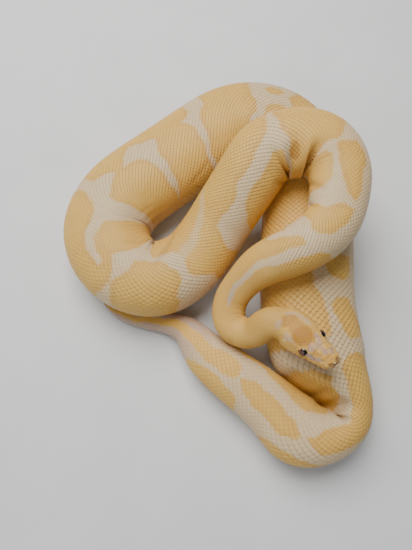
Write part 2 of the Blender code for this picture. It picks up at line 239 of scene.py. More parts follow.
# Markings. Each yellow blotch is a closed outline of distances and angles. What lies between
# the blotches is pale.
BLOTCHES = (
    ((-60, -200), (150, -200), (172, -110), (171, -50), (178, 0), (176, 12), (186, 60),
     (188, 110), (150, 200), (-60, 200)),
    ((187, -20), (184, -8), (192, 24), (199, 36), (206, 37), (212, 27), (213, 8), (206, -24),
     (209, -110), (188, -110), (189, -50)),
    ((260, -2), (257, 30), (250, 39), (228, 42), (220, 34), (217, 20), (221, 4), (228, -3),
     (246, -12), (254, -9)),
    ((222, -110), (221, -75), (223, -48), (227, -30), (233, -22), (252, -20), (261, -26),
     (264, -50), (264, -110)),
    ((266, -110), (266, -25), (262, 8), (265, 22), (268, 62), (301, 62), (301, 20), (299, 0),
     (296, -14), (299, -110)),
    ((303, 80), (304, 40), (308, 8), (316, -1), (345, -3), (356, -12), (366, -12), (375, -6),
     (381, -8), (391, -42), (388, -110), (409, -110), (411, -60), (425, -25), (421, 4),
     (425, 16), (445, 14), (448, 30), (447, 95), (340, 100)),
    ((300, -110), (303, -30), (312, -25), (345, -25), (352, -28), (357, -36), (366, -62),
     (369, -110)),
    ((453, 10), (441, 9), (434, 0), (430, -12), (430, -28), (434, -45), (438, -110), (462, -110),
     (467, -32), (460, 2)),
    ((503, 2), (505, 110), (455, 110), (458, 40), (476, -4), (484, -10), (493, -8)),
    ((526, -110), (525, -28), (519, -11), (510, -5), (488, -9), (478, -3), (473, -8), (467, -34),
     (470, -50), (474, -110)),
    ((531, -110), (533, -27), (543, -14), (545, -8), (527, 2), (525, 12), (530, 60), (532, 110),
     (610, 110), (612, 45), (619, 0), (613, -17), (619, -18), (626, -29), (626, -60),
     (622, -110)),
    ((643, -110), (641, -45), (638, -22), (628, -7), (616, 38), (614, 110), (668, 110),
     (668, 20), (676, 12), (676, -3), (672, -12), (673, -110)),
    ((681, -25), (684, -35), (690, -36), (693, -27), (690, -19), (684, -18)),
    ((684, 4), (688, -4), (696, -6), (703, -2), (706, 10), (706, 110), (684, 110)),
    ((697, -110), (698, -20), (702, -8), (711, -6), (714, -30), (714, -110)),
    ((716, 110), (716, 14), (735, 10), (758, 14), (760, 110)),
    ((718, -110), (720, -12), (736, -8), (752, -12), (754, -110)),
    ((766, 120), (766, 8), (780, 2), (810, 2), (826, 8), (826, 120)),
    ((762, -110), (764, -18), (785, -14), (804, -18), (806, -110)),
    ((828, -10), (841, -12), (847, -18), (851, -38), (847, -47), (840, -52), (828, -55)),
    ((832, 110), (833, 4), (855, -1), (877, -12), (892, -9), (896, 0), (897, 20), (894, 110)),
    ((871, -16), (865, -23), (863, -33), (865, -43), (880, -62), (889, -66), (897, -56),
     (899, -35), (893, -27)),
    ((908, 200), (909, 38), (911, 24), (919, 5), (930, 22), (941, 66), (952, 84), (961, 110),
     (961, 200)),
    ((914, -8), (909, -28), (910, -39), (921, -60), (930, -68), (940, -66), (960, -42),
     (977, -38), (988, -8), (978, 6), (950, 20), (926, -6)),
    ((962, 200), (967, 55), (972, 38), (984, 36), (996, 22), (1031, 34), (1041, 41), (1050, 38),
     (1075, 60), (1083, 110), (985, 130), (980, 200)),
    ((1046, -4), (1033, 7), (1000, 3), (994, -5), (992, -14), (996, -24), (1004, -29),
     (1025, -30), (1040, -22)),
    ((1047, -4), (1050, 14), (1055, 20), (1066, 21), (1077, 16), (1105, 14), (1200, 22),
     (1200, -22), (1090, -22), (1080, -16), (1058, -17), (1050, -12)),
    ((1083, -110), (1082, -60), (1078, -38), (1072, -31), (1061, -27), (1041, -40), (1038, -52),
     (1035, -110)),
    ((1012, -110), (1010, -75), (1003, -54), (994, -48), (986, -52), (980, -62), (974, -80),
     (972, -110)),
)
# Pale patches that lie within the blotches.
GAPS = (
    ((553, -9), (559, -23), (567, -34), (587, -17), (581, 4), (580, 40), (575, 80), (573, 8),
     (571, 1), (560, -8)),
    ((354, -17), (366, -17), (375, -11), (379, -14), (389, -46), (380, -80), (370, -80),
     (366, -55), (356, -28)),
)
BLOTCH_REACH = 14.0     # a blotch has no say farther than this from its ends
BLOTCH_EDGE = 0.8       # half the width over which a blotch passes into the pale ground
WAVE = 0.5              # how far a blotch's edge wanders
PATTERN_START = (100.0, 112.0)  # the blotches and their pale ground set in over this stretch
RIM_INSIDE = 1.6        # how far inside a blotch's edge its darker line runs
RIM_WIDTH = 1.3
RIM_END = (1060.0, 1000.0)      # the tail's tip has no such line
LILAC_ENDS = ((150.0, 110.0, 0.55), (1070.0, 1100.0, 0.7))  # bluish neck and tail, and how much

# Pale stripes painted over the blotches: points along the stripe as distance and angle, and
# the half width there.
STRIPES = (
    ((106, -4, 1.2), (120, 0, 2.0), (133, 3, 1.8), (146, 8, 2.2), (159, 17, 3.4), (176, 22, 3.6),
     (192, 34, 3.6), (208, 44, 4.4), (238, 48, 4.6)),
    ((160, -47, 3.0), (172, -32, 4.0), (181, -14, 3.6), (184, 8, 3.0), (180, 21, 3.0)),
    ((512, -1, 3.4), (505, -5, 3.6), (497, -14, 3.2), (489, -20, 3.2), (480, -22, 2.4)),
)
FAINT_STRIPES = (
    ((362, 58, 1.6), (372, 33, 2.6), (388, 16, 2.6), (404, 8, 3.2), (424, 2, 3.2)),
    ((452, 62, 3.0), (455, 44, 4.0), (461, 22, 4.4), (465, 4, 3.4)),
)
FAINTNESS = 0.6         # strength of a faint stripe
FAINT_EDGE = 1.5        # half the width over which a faint stripe fades out

# Round patches on the head, the neck and the deepest folds: the paint, distance back, angle,
# half length, half width and strength. The shade rows are painted shade, and so are the warm and
# crown rows in the folds.
PATCHES = (
    ("crown", 26.0, -14, 7.0, 6.6, 1.0),
    ("crown", 33.0, -4, 5.0, 4.2, 0.7),
    ("crown", 40.5, -1, 5.0, 4.4, 0.85),
    ("crown", 12.5, -34, 3.6, 2.2, 0.55),
    ("crown", 7.5, -12, 4.0, 2.4, 0.35),
    ("warm_and_fold_shade", 52.0, -30, 6.0, 9.0, 0.45),
    ("pale", 32.5, -46, 5.0, 2.6, 0.6),
    ("pale", 46.0, -18, 3.0, 3.0, 0.5),
    ("pale", 42.5, 20, 2.6, 1.8, 0.6),
    ("pale", 37.5, 27, 4.2, 2.0, 0.6),
    ("pale", 31.5, 33, 4.4, 2.2, 0.6),
    ("belly", 34.0, -64, 1.0, 0.8, 0.9),
    ("lilac", 18.3, 16, 3.0, 1.9, 0.8),
    ("lilac", 15.2, 0, 2.6, 1.9, 0.65),
    ("lilac", 17.0, -28, 2.2, 3.2, 0.75),
    ("lilac", 10.0, 4, 2.6, 1.3, 0.7),
    ("lilac", 7.6, 26, 2.2, 1.6, 0.65),
    ("lilac", 8.6, -52, 2.0, 1.6, 0.9),
    ("lilac", 7.6, 46, 2.0, 1.6, 0.9),
    ("lilac", 13.5, -70, 4.4, 1.8, 0.95),
    ("lilac", 13.5, 70, 3.6, 1.4, 0.6),
    ("sun", 4.0, -10, 4.0, 4.0, 0.8),
    ("sun", 4.0, 14, 3.4, 3.6, 0.6),
    ("sun", 6.0, -90, 7.0, 2.4, 0.9),
    ("sun", 6.0, 90, 7.0, 2.4, 0.9),
    ("sun", 22.0, -90, 12.0, 1.8, 0.35),
    ("sun", 22.0, 90, 12.0, 1.8, 0.35),
    ("belly", 0.9, 0, 0.7, 0.45, 0.8),
    # Painted shade in the nostrils.
    ("shade", 7.0, -45, 0.85, 0.7, 0.8),
    ("shade", 7.0, 45, 0.85, 0.7, 0.8),
    # Painted shade over the neck behind the head and on the sides of the head behind the eyes.
    ("shade", 60.0, -10, 16.0, 40.0, 0.13),
    ("shade", 37.0, -72, 9.0, 4.5, 0.10),
    ("shade", 37.0, 72, 9.0, 4.5, 0.10),
    # Orange and dark painted shade in the deepest folds of the fore loop, in the warm, crown and
    # shade colours.
    ("warm_and_fold_shade", 294.0, -46, 4.0, 10.0, 1.0),
    ("crown", 292.5, -40, 4.0, 8.0, 0.7),
    ("shade", 297.0, -58, 2.2, 9.0, 0.28),
    ("shade", 270.5, -66, 1.8, 9.0, 0.25),
    ("warm_and_fold_shade", 270.0, -62, 3.0, 12.0, 0.7),
)
# Rings of painted shade round the front pits.
PIT_RINGS = ((0.55, -33, 1.7, 1.25), (0.55, 33, 1.7, 1.25))     # back, angle, half sizes
PATCH_EDGE = (1.5, 0.5)         # where a patch begins and where it is full, in squared sizes
PIT_LINE = 0.32         # half width of the painted shade round a front pit
PIT_SHADE = 0.8

# Warm, reddish yellow where the skin is folded or turned inwards, partly the skin's own tone and
# partly painted warm shade and bounce light: start, end, lowest and highest angle, strength.
WARM_AND_FOLD_SHADE_PARTS = (
    (50, 150, -200, 200, 0.50),
    (100, 190, 45, 200, 0.35),
    (205, 310, -200, -45, 0.50),
    (300, 360, -200, -45, 0.60),
    (262, 284, -80, -28, 0.25),
    (370, 440, 18, 200, 0.45),
    (455, 500, 25, 200, 0.45),
    (500, 600, 62, 200, 0.45),
    (762, 830, -20, 200, 0.75),
    (895, 952, 8, 200, 0.60),
    (938, 990, -45, 14, 0.35),
    (1080, 1110, -20, 12, 0.40),
)
WARM_BLUR = 9.0         # how softly a warm part fades out
PALE_HOLDS = 0.7        # part of the warmth that pale ground keeps off
FOLDED_IN = (920.0, 935.0)      # the belly's whiteness stops inside the hind fold, from here
FOLDED_OUT = (990.0, 975.0)     # to here
BELLY_ANGLE = 140.4     # angle at which the belly's whiteness is half strong
BELLY_BLUR = 12.0       # half the angle over which it fades
BELLY_START = (20.0, 60.0)      # it sets in over this stretch

# Coat: scale rows counted over half the girth, by distance along the route.
SCALE_ROWS = ((0, 8), (4, 12), (8, 17), (14, 22), (20, 25), (27, 27), (50, 28), (110, 32),
              (200, 38), (300, 41), (400, 42), (450, 47), (520, 54), (650, 54), (740, 49),
              (860, 40), (930, 35), (1020, 30), (1083, 24), (1120, 16), (1181, 7))
# Share of the half girth at which the scales give way to the broad belly scutes.
SCUTE_EDGE = ((0, 1.0), (50, 1.0), (62, 0.86), (200, 0.80), (1083, 0.80), (1181, 0.78))
HEAD_SCALE_END = 48.0   # scales in front of this are the head's
SCUTE_ROOM = 0.4        # rows between the last scale and the scutes
# One scale's outline from its root to its tip: along, in lengths, and half width, in rows.
SCALE_OUTLINE = ((-0.56, 0.0), (-0.38, 0.50), (-0.08, 0.90), (0.22, 0.74), (0.45, 0.36),
                 (0.58, 0.0))
# Pieces of the coat: name, where it starts and ends, and the CAD lengths it covers.
COAT = (
    ("head_scales", 3.0, 48.0, ("head", "lower_jaw")),
    ("neck_scales", 48.0, 165.0, ("neck_front", "neck_bend", "trunk_01")),
    ("fore_scales", 165.0, 300.0, ("trunk_02", "trunk_03", "trunk_04")),
    ("cross_scales", 300.0, 420.0, ("trunk_05", "trunk_06")),
    ("coil_scales", 420.0, 500.0, ("trunk_07",)),
    ("side_scales", 500.0, 570.0, ("trunk_08", "trunk_09")),
    ("back_scales", 570.0, 655.0, ("trunk_10",)),
    ("under_scales", 655.0, 735.0, ("trunk_11",)),
    ("rear_scales", 735.0, 900.0, ("trunk_12", "trunk_13")),
    ("fold_scales", 900.0, 1010.0, ("trunk_14", "trunk_15", "trunk_16")),
    ("tail_scales", 1010.0, 1181.0, ("trunk_17", "trunk_18", "tail_base", "tail_end")),
)

PAINTS = ("pale", "rim", "warm_and_fold_shade", "crown", "lilac", "sun", "belly", "shade")
SEED = 7
HEAD_SCALE_LENGTH = 2.1     # longest scale on the head
PLATEAU = 0.62          # size of a scale's raised middle, as a part of its outline
# A plate's corners lie on three levels: underside, rim and raised middle.
SCALE_LEVELS = (0.0, 0.6, 1.0)      # heights of a scale's, as parts of its thickness
SHIELD_LEVELS = (-0.2, 0.5, 1.0)    # heights of a shield's
PATCH_LEVELS = (1.0, 0.8, 0.5)      # how far out they lie on a plate's patch of the map
SCALE_JITTER = 0.12     # how much scales differ in height
SUNK = 0.10             # how deep a scale's root is sunk in the skin
SCALE_WIDTH = 2.8       # row spacing for which the scale's thickness and lift are given
HELD_FROM = 0.1         # part of the skin's length left where plates begin to rise
HELD_SLOPE = 1.8        # how soon plates flatten where the skin is crowded in a fold
HELD_LEAST = 0.08       # how much of their height is left in the tightest fold
FLOOR_CLEAR = 0.02      # lowest that a plate lies over the floor
PLATE_CREASE_SHADE = 0.6      # how strongly a crease's painted shade darkens the plates over it
PATCH = 0.003           # size of one scale's patch on the map
MAP_FILL = 0.96         # part of the map that the unrolled skin fills
PAINT_SPREAD = 0.5      # how far from a scale's middle its corners' paints are read

# Lips: where the lip shields end, and their height.
LIP_END = 38.0
LIP_HEIGHT = 2.5
LIP_OFFSET = 0.7 * MOUTH_WIDTH  # how far the lip shields keep from the middle of the mouth
ABOVE_LIP = 0.9         # small scales keep their middles this far above the lip shields
BELOW_LIP = 0.6
EYE_ANGLE = 76.0        # angle of the eyes from the middle of the crown
SNOUT_HOLD = 1.5        # where the snout closes, its girth is held at this distance's
EYE_CLEAR = 4.6         # scales keep this far from the middle of an eye

# Shields of the head: name, distance back and angle of the middle (on both sides), and size.
# Each fills the room up to its neighbours, and a larger size takes more of it.
SHIELDS = (
    ("rostral", 0.9, 0, 1.5),
    ("internasal", 3.6, 18, 1.5),
    ("nasal_front", 3.4, 58, 1.4),
    ("nasal_rear", 6.9, 50, 1.7),
    ("prefrontal_front", 7.2, 17, 1.8),
    ("prefrontal_rear", 11.2, 13, 2.0),
    ("prefrontal_side", 11.0, 38, 1.9),
    ("frontal", 15.8, 11, 2.2),
    ("brow_front", 15.0, 36, 1.9),
    ("brow", 19.8, 42, 2.1),
    ("lore_front", 9.6, 68, 1.3),
    ("lore_mid", 12.4, 67, 1.3),
    ("lore_rear", 15.0, 62, 1.4),
)
SHIELD_NEAR = 9.0       # shields farther apart than this aren't neighbours
SHIELD_LIMIT = 1.25     # most that a shield reaches, as a part of its size
SHIELD_ROUNDING = 9.0   # how sharp a shield's corners are
SHIELD_GAP = 0.16       # between neighbouring shields
SCALE_CLEAR = 0.55      # small scales keep their middles this far outside a shield
EYE_RING = 10           # small scales round each eye
EYE_RING_RADIUS = 3.35
EYE_RING_HEIGHT = 0.75
EYE_RING_FILL = 0.94    # part of the ring that its scales fill
UPPER_LIP = 10          # lip shields on each side, above and below the mouth
LOWER_LIP = 12
SHIELD_SIDES = 16
SHIELD_THICKNESS = 0.17
LIP_THICKNESS = 0.20
RING_THICKNESS = 0.55
SHIELD_INNER = 0.88
SHIELD_STEPS = (0.62, 0.45)     # further rings of a shield's top
SHIELD_RIM_SHADE = 0.25       # how strongly the painted shade along a shield's rim shows
LIP_SQUARENESS = 4.0
RING_SQUARENESS = 3.0
LIP_START = 1.6
LIP_LENGTH = 0.485      # half length of a lip shield, as a part of its step

SCUTES_START = 60.0
SCUTES_STOP = 2.0       # distance of the last scute from the tail's tip
SCUTE_STEPS = 3         # faces along one scute
SCUTE_FACES = 12        # faces across one scute
SCUTE_THICKNESS = 0.7   # as a part of a scale's
SCUTE_REACH = 0.58      # half length of a scute, in scale lengths
SCUTE_ROUND = 0.35      # how much shorter a scute's corners are
SCUTE_SPREAD = 1.04     # how far a scute reaches under the lowest scales
BELLY_MIDDLE = 0.999    # share of the half girth at which a scute's paints are read
EYE_LIFT = math.radians(14.0)       # how far the eyes look upwards
EYE_SEGMENTS = 48       # faces round one eyeball

# Materials. A mottle is a feature size in millimetres, its detail, the part of the noise that
# is used and the range that this becomes.
DULL_MOTTLE = (14.0, 2.0, (0.35, 0.65), (0.0, 0.5))         # duller parts of the yellow
SOFT_MOTTLE = (1.2, 2.0, (0.3, 0.7), (0.35, 0.75))          # tint of the skin between the scales
ROUGH_MOTTLE = (2.5, 3.0, (0.3, 0.7), (0.38, 0.56))         # roughness of the skin and scales
IRIS_MOTTLE = (0.4, 3.0, (0.3, 0.7), (0.0, 1.0))
FLOOR_MOTTLE = (60.0, 4.0, (0.3, 0.7), (0.0, 1.0))
RIM_STRENGTH = 0.45     # how strongly the line inside a blotch's edge shows
TONE_STRENGTH = 0.14    # how much single scales differ in colour
EDGE_SHADE_STRENGTH = 0.25    # how strongly the painted shade along a scale's rim shows
RELIEF_SIZE = 0.5       # feature size and height of the skin's finest relief
RELIEF_HEIGHT = 0.08
SLIT = ((0.10, 0.16), (0.45, 0.60))     # where the pupil's width and length fade out
IRIS_EDGE = (0.24, 0.32)        # where the iris passes into its dark rim, from the eye's middle
FLOOR_DARKER = 0.94     # the floor's darkest shade, as a part of its colour

# Stage: metres and radians.
FLOOR_SIZE = 8.0
AIM = (0.0, 0.0, 0.03)
KEY_PLACE = (-0.20, 0.45, 0.95)
KEY_SIZE = 0.8
FILL_PLACE = (-0.5, -0.7, 0.6)
FILL_SIZE = 0.8
CAMERA_PLACE = (-0.0030, -0.1342, 0.3593)
CAMERA_TURN = (math.radians(19.0), 0.0, 0.0)
KEY_COLOUR = (1.0, 0.985, 0.96)
ROOM_COLOUR = (0.86, 0.93, 1.0)


def spline(knots, values, at, start_slope):
    """Cubic curve through the values, with the given slope at its start."""
    count = len(knots)
    gaps = np.diff(knots)
    matrix = np.eye(count)
    target = np.zeros((count,) + values.shape[1:])
    for i in range(1, count - 1):
        matrix[i, i - 1:i + 2] = gaps[i - 1], 2 * (gaps[i - 1] + gaps[i]), gaps[i]
        rise = (values[i + 1] - values[i]) / gaps[i]
        target[i] = 6 * (rise - (values[i] - values[i - 1]) / gaps[i - 1])
    if start_slope is not None:
        matrix[0, :2] = 2 * gaps[0], gaps[0]
        target[0] = 6 * ((values[1] - values[0]) / gaps[0] - start_slope)
    bend = np.linalg.solve(matrix, target)
    span = np.clip(np.searchsorted(knots, at) - 1, 0, count - 2)
    column = (slice(None),) + (None,) * (values.ndim - 1)
    gap = gaps[span][column]
    after = (knots[span + 1] - at)[column]
    before = (at - knots[span])[column]
    curve = (bend[span] * after ** 3 + bend[span + 1] * before ** 3) / (6 * gap)
    curve += (values[span] / gap - bend[span] * gap / 6) * after
    return curve + (values[span + 1] / gap - bend[span + 1] * gap / 6) * before


def spread(values, step, reach):
    """Round the corners of a row of values over a reach along the route."""
    half = max(1, int(round(reach / step)))
    weights = np.hanning(2 * half + 3)[1:-1]
    weights /= weights.sum()
    start = 2 * values[0] - values[half:0:-1]
    end = 2 * values[-1] - values[-2:-half - 2:-1]
    return np.convolve(np.concatenate([start, values, end]), weights, "valid")


def along(points):
    """Distance run from the first point to each point."""
    steps = np.linalg.norm(np.diff(points, axis=0), axis=1)
    return np.concatenate([[0.0], np.cumsum(steps)])


class Body:
    """The route at fine steps, with its directions and sizes."""

    def __init__(self):
        forward = np.array([math.cos(HEADING), math.sin(HEADING)])
        tip = np.array(SNOUT)
        base = tip.copy()
        base[:2] -= forward * STRAIGHT * math.cos(PITCH)
        base[2] -= STRAIGHT * math.sin(PITCH)
        places = np.array([row[1:4] for row in ROUTE], float)
        knots_at = np.vstack([base, places])
        knots = along(knots_at)
        reach = np.linspace(0.0, knots[-1], int(knots[-1] / FINE_STEP) + 1)
        plan = spline(knots, knots_at[:, :2], reach, -forward * math.cos(PITCH))
        height = np.interp(reach, knots, knots_at[:, 2])
        share = np.linspace(0.0, 1.0, int(STRAIGHT / FINE_STEP), endpoint=False)[:, None]
        points = np.vstack([tip + (base - tip) * share, np.column_stack([plan, height])])
        run = along(points)
        place_run = np.interp(knots[1:], reach, run[len(share):])
        self.run = np.linspace(0.0, run[-1], int(run[-1] / FINE_STEP) + 1)
        self.places = dict(zip((row[0] for row in ROUTE), place_run))
        even = np.column_stack([np.interp(self.run, run, points[:, i]) for i in range(3)])
        step = self.run[1]
        even[:, 2] = spread(even[:, 2], step, HEIGHT_BLEND)
        self.points = even
        self.forward = np.gradient(even, self.run, axis=0)
        self.forward /= np.linalg.norm(self.forward, axis=1)[:, None]
        side = np.column_stack([-self.forward[:, 1], self.forward[:, 0], 0 * self.run])
        self.side = side / np.linalg.norm(side, axis=1)[:, None]
        self.up = np.cross(self.forward, self.side)
        turn = np.unwrap(np.arctan2(self.forward[:, 1], self.forward[:, 0]))
        self.turn = spread(np.gradient(turn, self.run), step, TURN_BLEND)
        sizes = np.array([row[4:6] for row in ROUTE], float) / 2
        head = np.array(HEAD_PROFILE)
        self.half_width = self.blend(head[:, 0], head[:, 1], place_run, sizes[:, 0])
        self.above = self.blend(head[:, 0], head[:, 2], place_run, sizes[:, 1])
        self.below = self.blend(head[:, 0], head[:, 3], place_run, sizes[:, 1])

    def blend(self, head_at, head_values, body_at, body_values):
        """A size along the whole animal: the head's outline, then the body's."""
        body = spread(np.interp(self.run, body_at, body_values), self.run[1], SIZE_BLEND)
        head = spline(head_at, head_values, np.clip(self.run, 0.0, head_at[-1]), None)
        mix = np.clip((self.run - head_at[-1]) / HEAD_BLEND + 1, 0.0, 1.0)
        mix = mix * mix * (3 - 2 * mix)
        return head * (1 - mix) + body * mix

    def read(self, values, at):
        """Read a row of values, or of vectors, at distances along the route."""
        if values.ndim == 1:
            return np.interp(at, self.run, values)
        return np.column_stack([np.interp(at, self.run, column) for column in values.T])

    def rings(self, at, sides):
        """Section outlines at the given distances: an array of rings by sides by 3."""
        angle = np.linspace(0.0, 2 * math.pi, sides, endpoint=False)
        cos, sin = np.cos(angle), np.sin(angle)
        head = np.clip((HEAD_LENGTH - at) / HEAD_BLEND, 0.0, 1.0)[:, None]
        crown = BACK_POWER + (CROWN_POWER - BACK_POWER) * head
        power = 2 / np.where(sin >= 0, crown, BELLY_POWER)
        across = np.sign(cos) * np.abs(cos) ** power
        upward = np.sign(sin) * np.abs(sin) ** power
        across *= 1 - CROWN_TAPER * head * np.maximum(upward, 0.0)
        turn = self.read(self.turn, at)
        half = self.read(self.half_width, at)
        inner = np.minimum(half, SQUEEZE / np.maximum(np.abs(turn), STRAIGHTEST))
        left = np.where(turn > 0, inner, half)[:, None]
        right = np.where(turn < 0, inner, half)[:, None]
        reach = np.where(across > 0, left, right) * across
        above = self.read(self.above, at)[:, None]
        below = self.read(self.below, at)[:, None]
        rise = np.where(upward >= 0, above, below) * upward
        centre = self.read(self.points, at)[:, None, :]
        side = self.read(self.side, at)[:, None, :]
        up = self.read(self.up, at)[:, None, :]
        rings = centre + side * reach[:, :, None] + up * rise[:, :, None]
        return self.settle(rings, at)

    def settle(self, rings, at):
        """Press the sections flat on the floor and where two lengths meet."""
        forward = self.read(self.forward, at)
        for front, back, point, normal in CONTACTS:
            for (first, last), facing in ((front, 1), (back, -1)):
                low, high = self.places[first], self.places[last]
                share = np.clip(np.minimum(at - low, high - at) / HEAD_BLEND + 1, 0, 1)
                plane = np.array(normal) / np.linalg.norm(normal) * facing
                level = np.dot(point, plane) + GAP / 2
                rings = press(rings, forward, plane, level, CONTACT_SOFTNESS, share)
        return press(rings, forward, np.array([0.0, 0.0, 1.0]), 0.0, 0.0, np.ones(len(at)))


def press(rings, forward, plane, level, softness, share):
    """Keep sections on the front of a plane, each moved only within its own flat."""
    depth = rings @ plane - level
    if softness > 0:
        kept = softness * np.logaddexp(0.0, depth / softness)
    else:
        kept = np.maximum(depth, 0.0)
    slope = forward @ plane
    within = plane - slope[:, None] * forward
    within *= (share / (within ** 2).sum(axis=1))[:, None]
    return rings + (kept - depth)[:, :, None] * within[:, None, :]


def smooth(low, high, value):
    """0 below low, 1 above high, and an even curve between them."""
    share = np.clip((value - low) / (high - low), 0.0, 1.0)
    return share * share * (3 - 2 * share)


def bump(value, width):
    """1 at no distance, fading to nothing a few widths away."""
    return np.exp(-(value / width) ** 2)


def table_at(table, at):
    """Read a short table of distance and value at any distances."""
    knots, values = np.array(table, float).T
    return np.interp(at, knots, values)


def jaw_set_back(body, rings, at):
    """Let the lower jaw end behind the snout's tip, under the upper lip."""
    centre = body.read(body.points, at)[:, None, :]
    up = body.read(body.up, at)[:, None, :]
    fade = np.clip((MOUTH_LENGTH - at) / JAW_FADE, 0.0, 1.0)
    from_at = np.maximum(at - JAW_SETBACK * fade, 0.0)
    from_centre = body.read(body.points, from_at)[:, None, :]
    jaw = body.rings(from_at, OUTLINE_SIDES) - from_centre + centre
    level = ((rings - centre) * up).sum(axis=2)
    below = 1 - smooth(MOUTH_LEVEL - LIP_STEP, MOUTH_LEVEL + LIP_STEP, level)
    rings = rings + (jaw - rings) * (below * (fade > 0)[:, None])[:, :, None]
    level = ((rings - centre) * up).sum(axis=2)
    under = np.where(at < JAW_SETBACK, MOUTH_LEVEL, -np.inf)[:, None]
    return rings + (np.maximum(level, under) - level)[:, :, None] * up


def by_girth(half, shares):
    """Points and angles at even shares of each half section's girth, and that girth."""
    steps = np.linalg.norm(np.diff(half, axis=1), axis=2)
    run = np.concatenate([np.zeros((len(half), 1)), np.cumsum(steps, axis=1)], axis=1)
    girth = run[:, -1]
    degrees = np.linspace(0.0, 180.0, half.shape[1])
    points = np.empty((len(half), len(shares), 3))
    angles = np.empty((len(half), len(shares)))
    for row, length in enumerate(girth):
        goal = shares * length
        angles[row] = np.interp(goal, run[row], degrees)
        for axis in range(3):
            points[row, :, axis] = np.interp(goal, run[row], half[row, :, axis])
    return points, angles, girth


def outward(points):
    """Outward direction at every point of the skin's grid."""
    along_body = np.gradient(points, axis=0)
    ring = np.concatenate([points[:, -2:-1], points, points[:, 1:2]], axis=1)
    normal = np.cross(ring[:, 2:] - ring[:, :-2], along_body)
    size = np.linalg.norm(normal, axis=2)
    normal /= np.maximum(size, 1e-12)[:, :, None]
    return normal


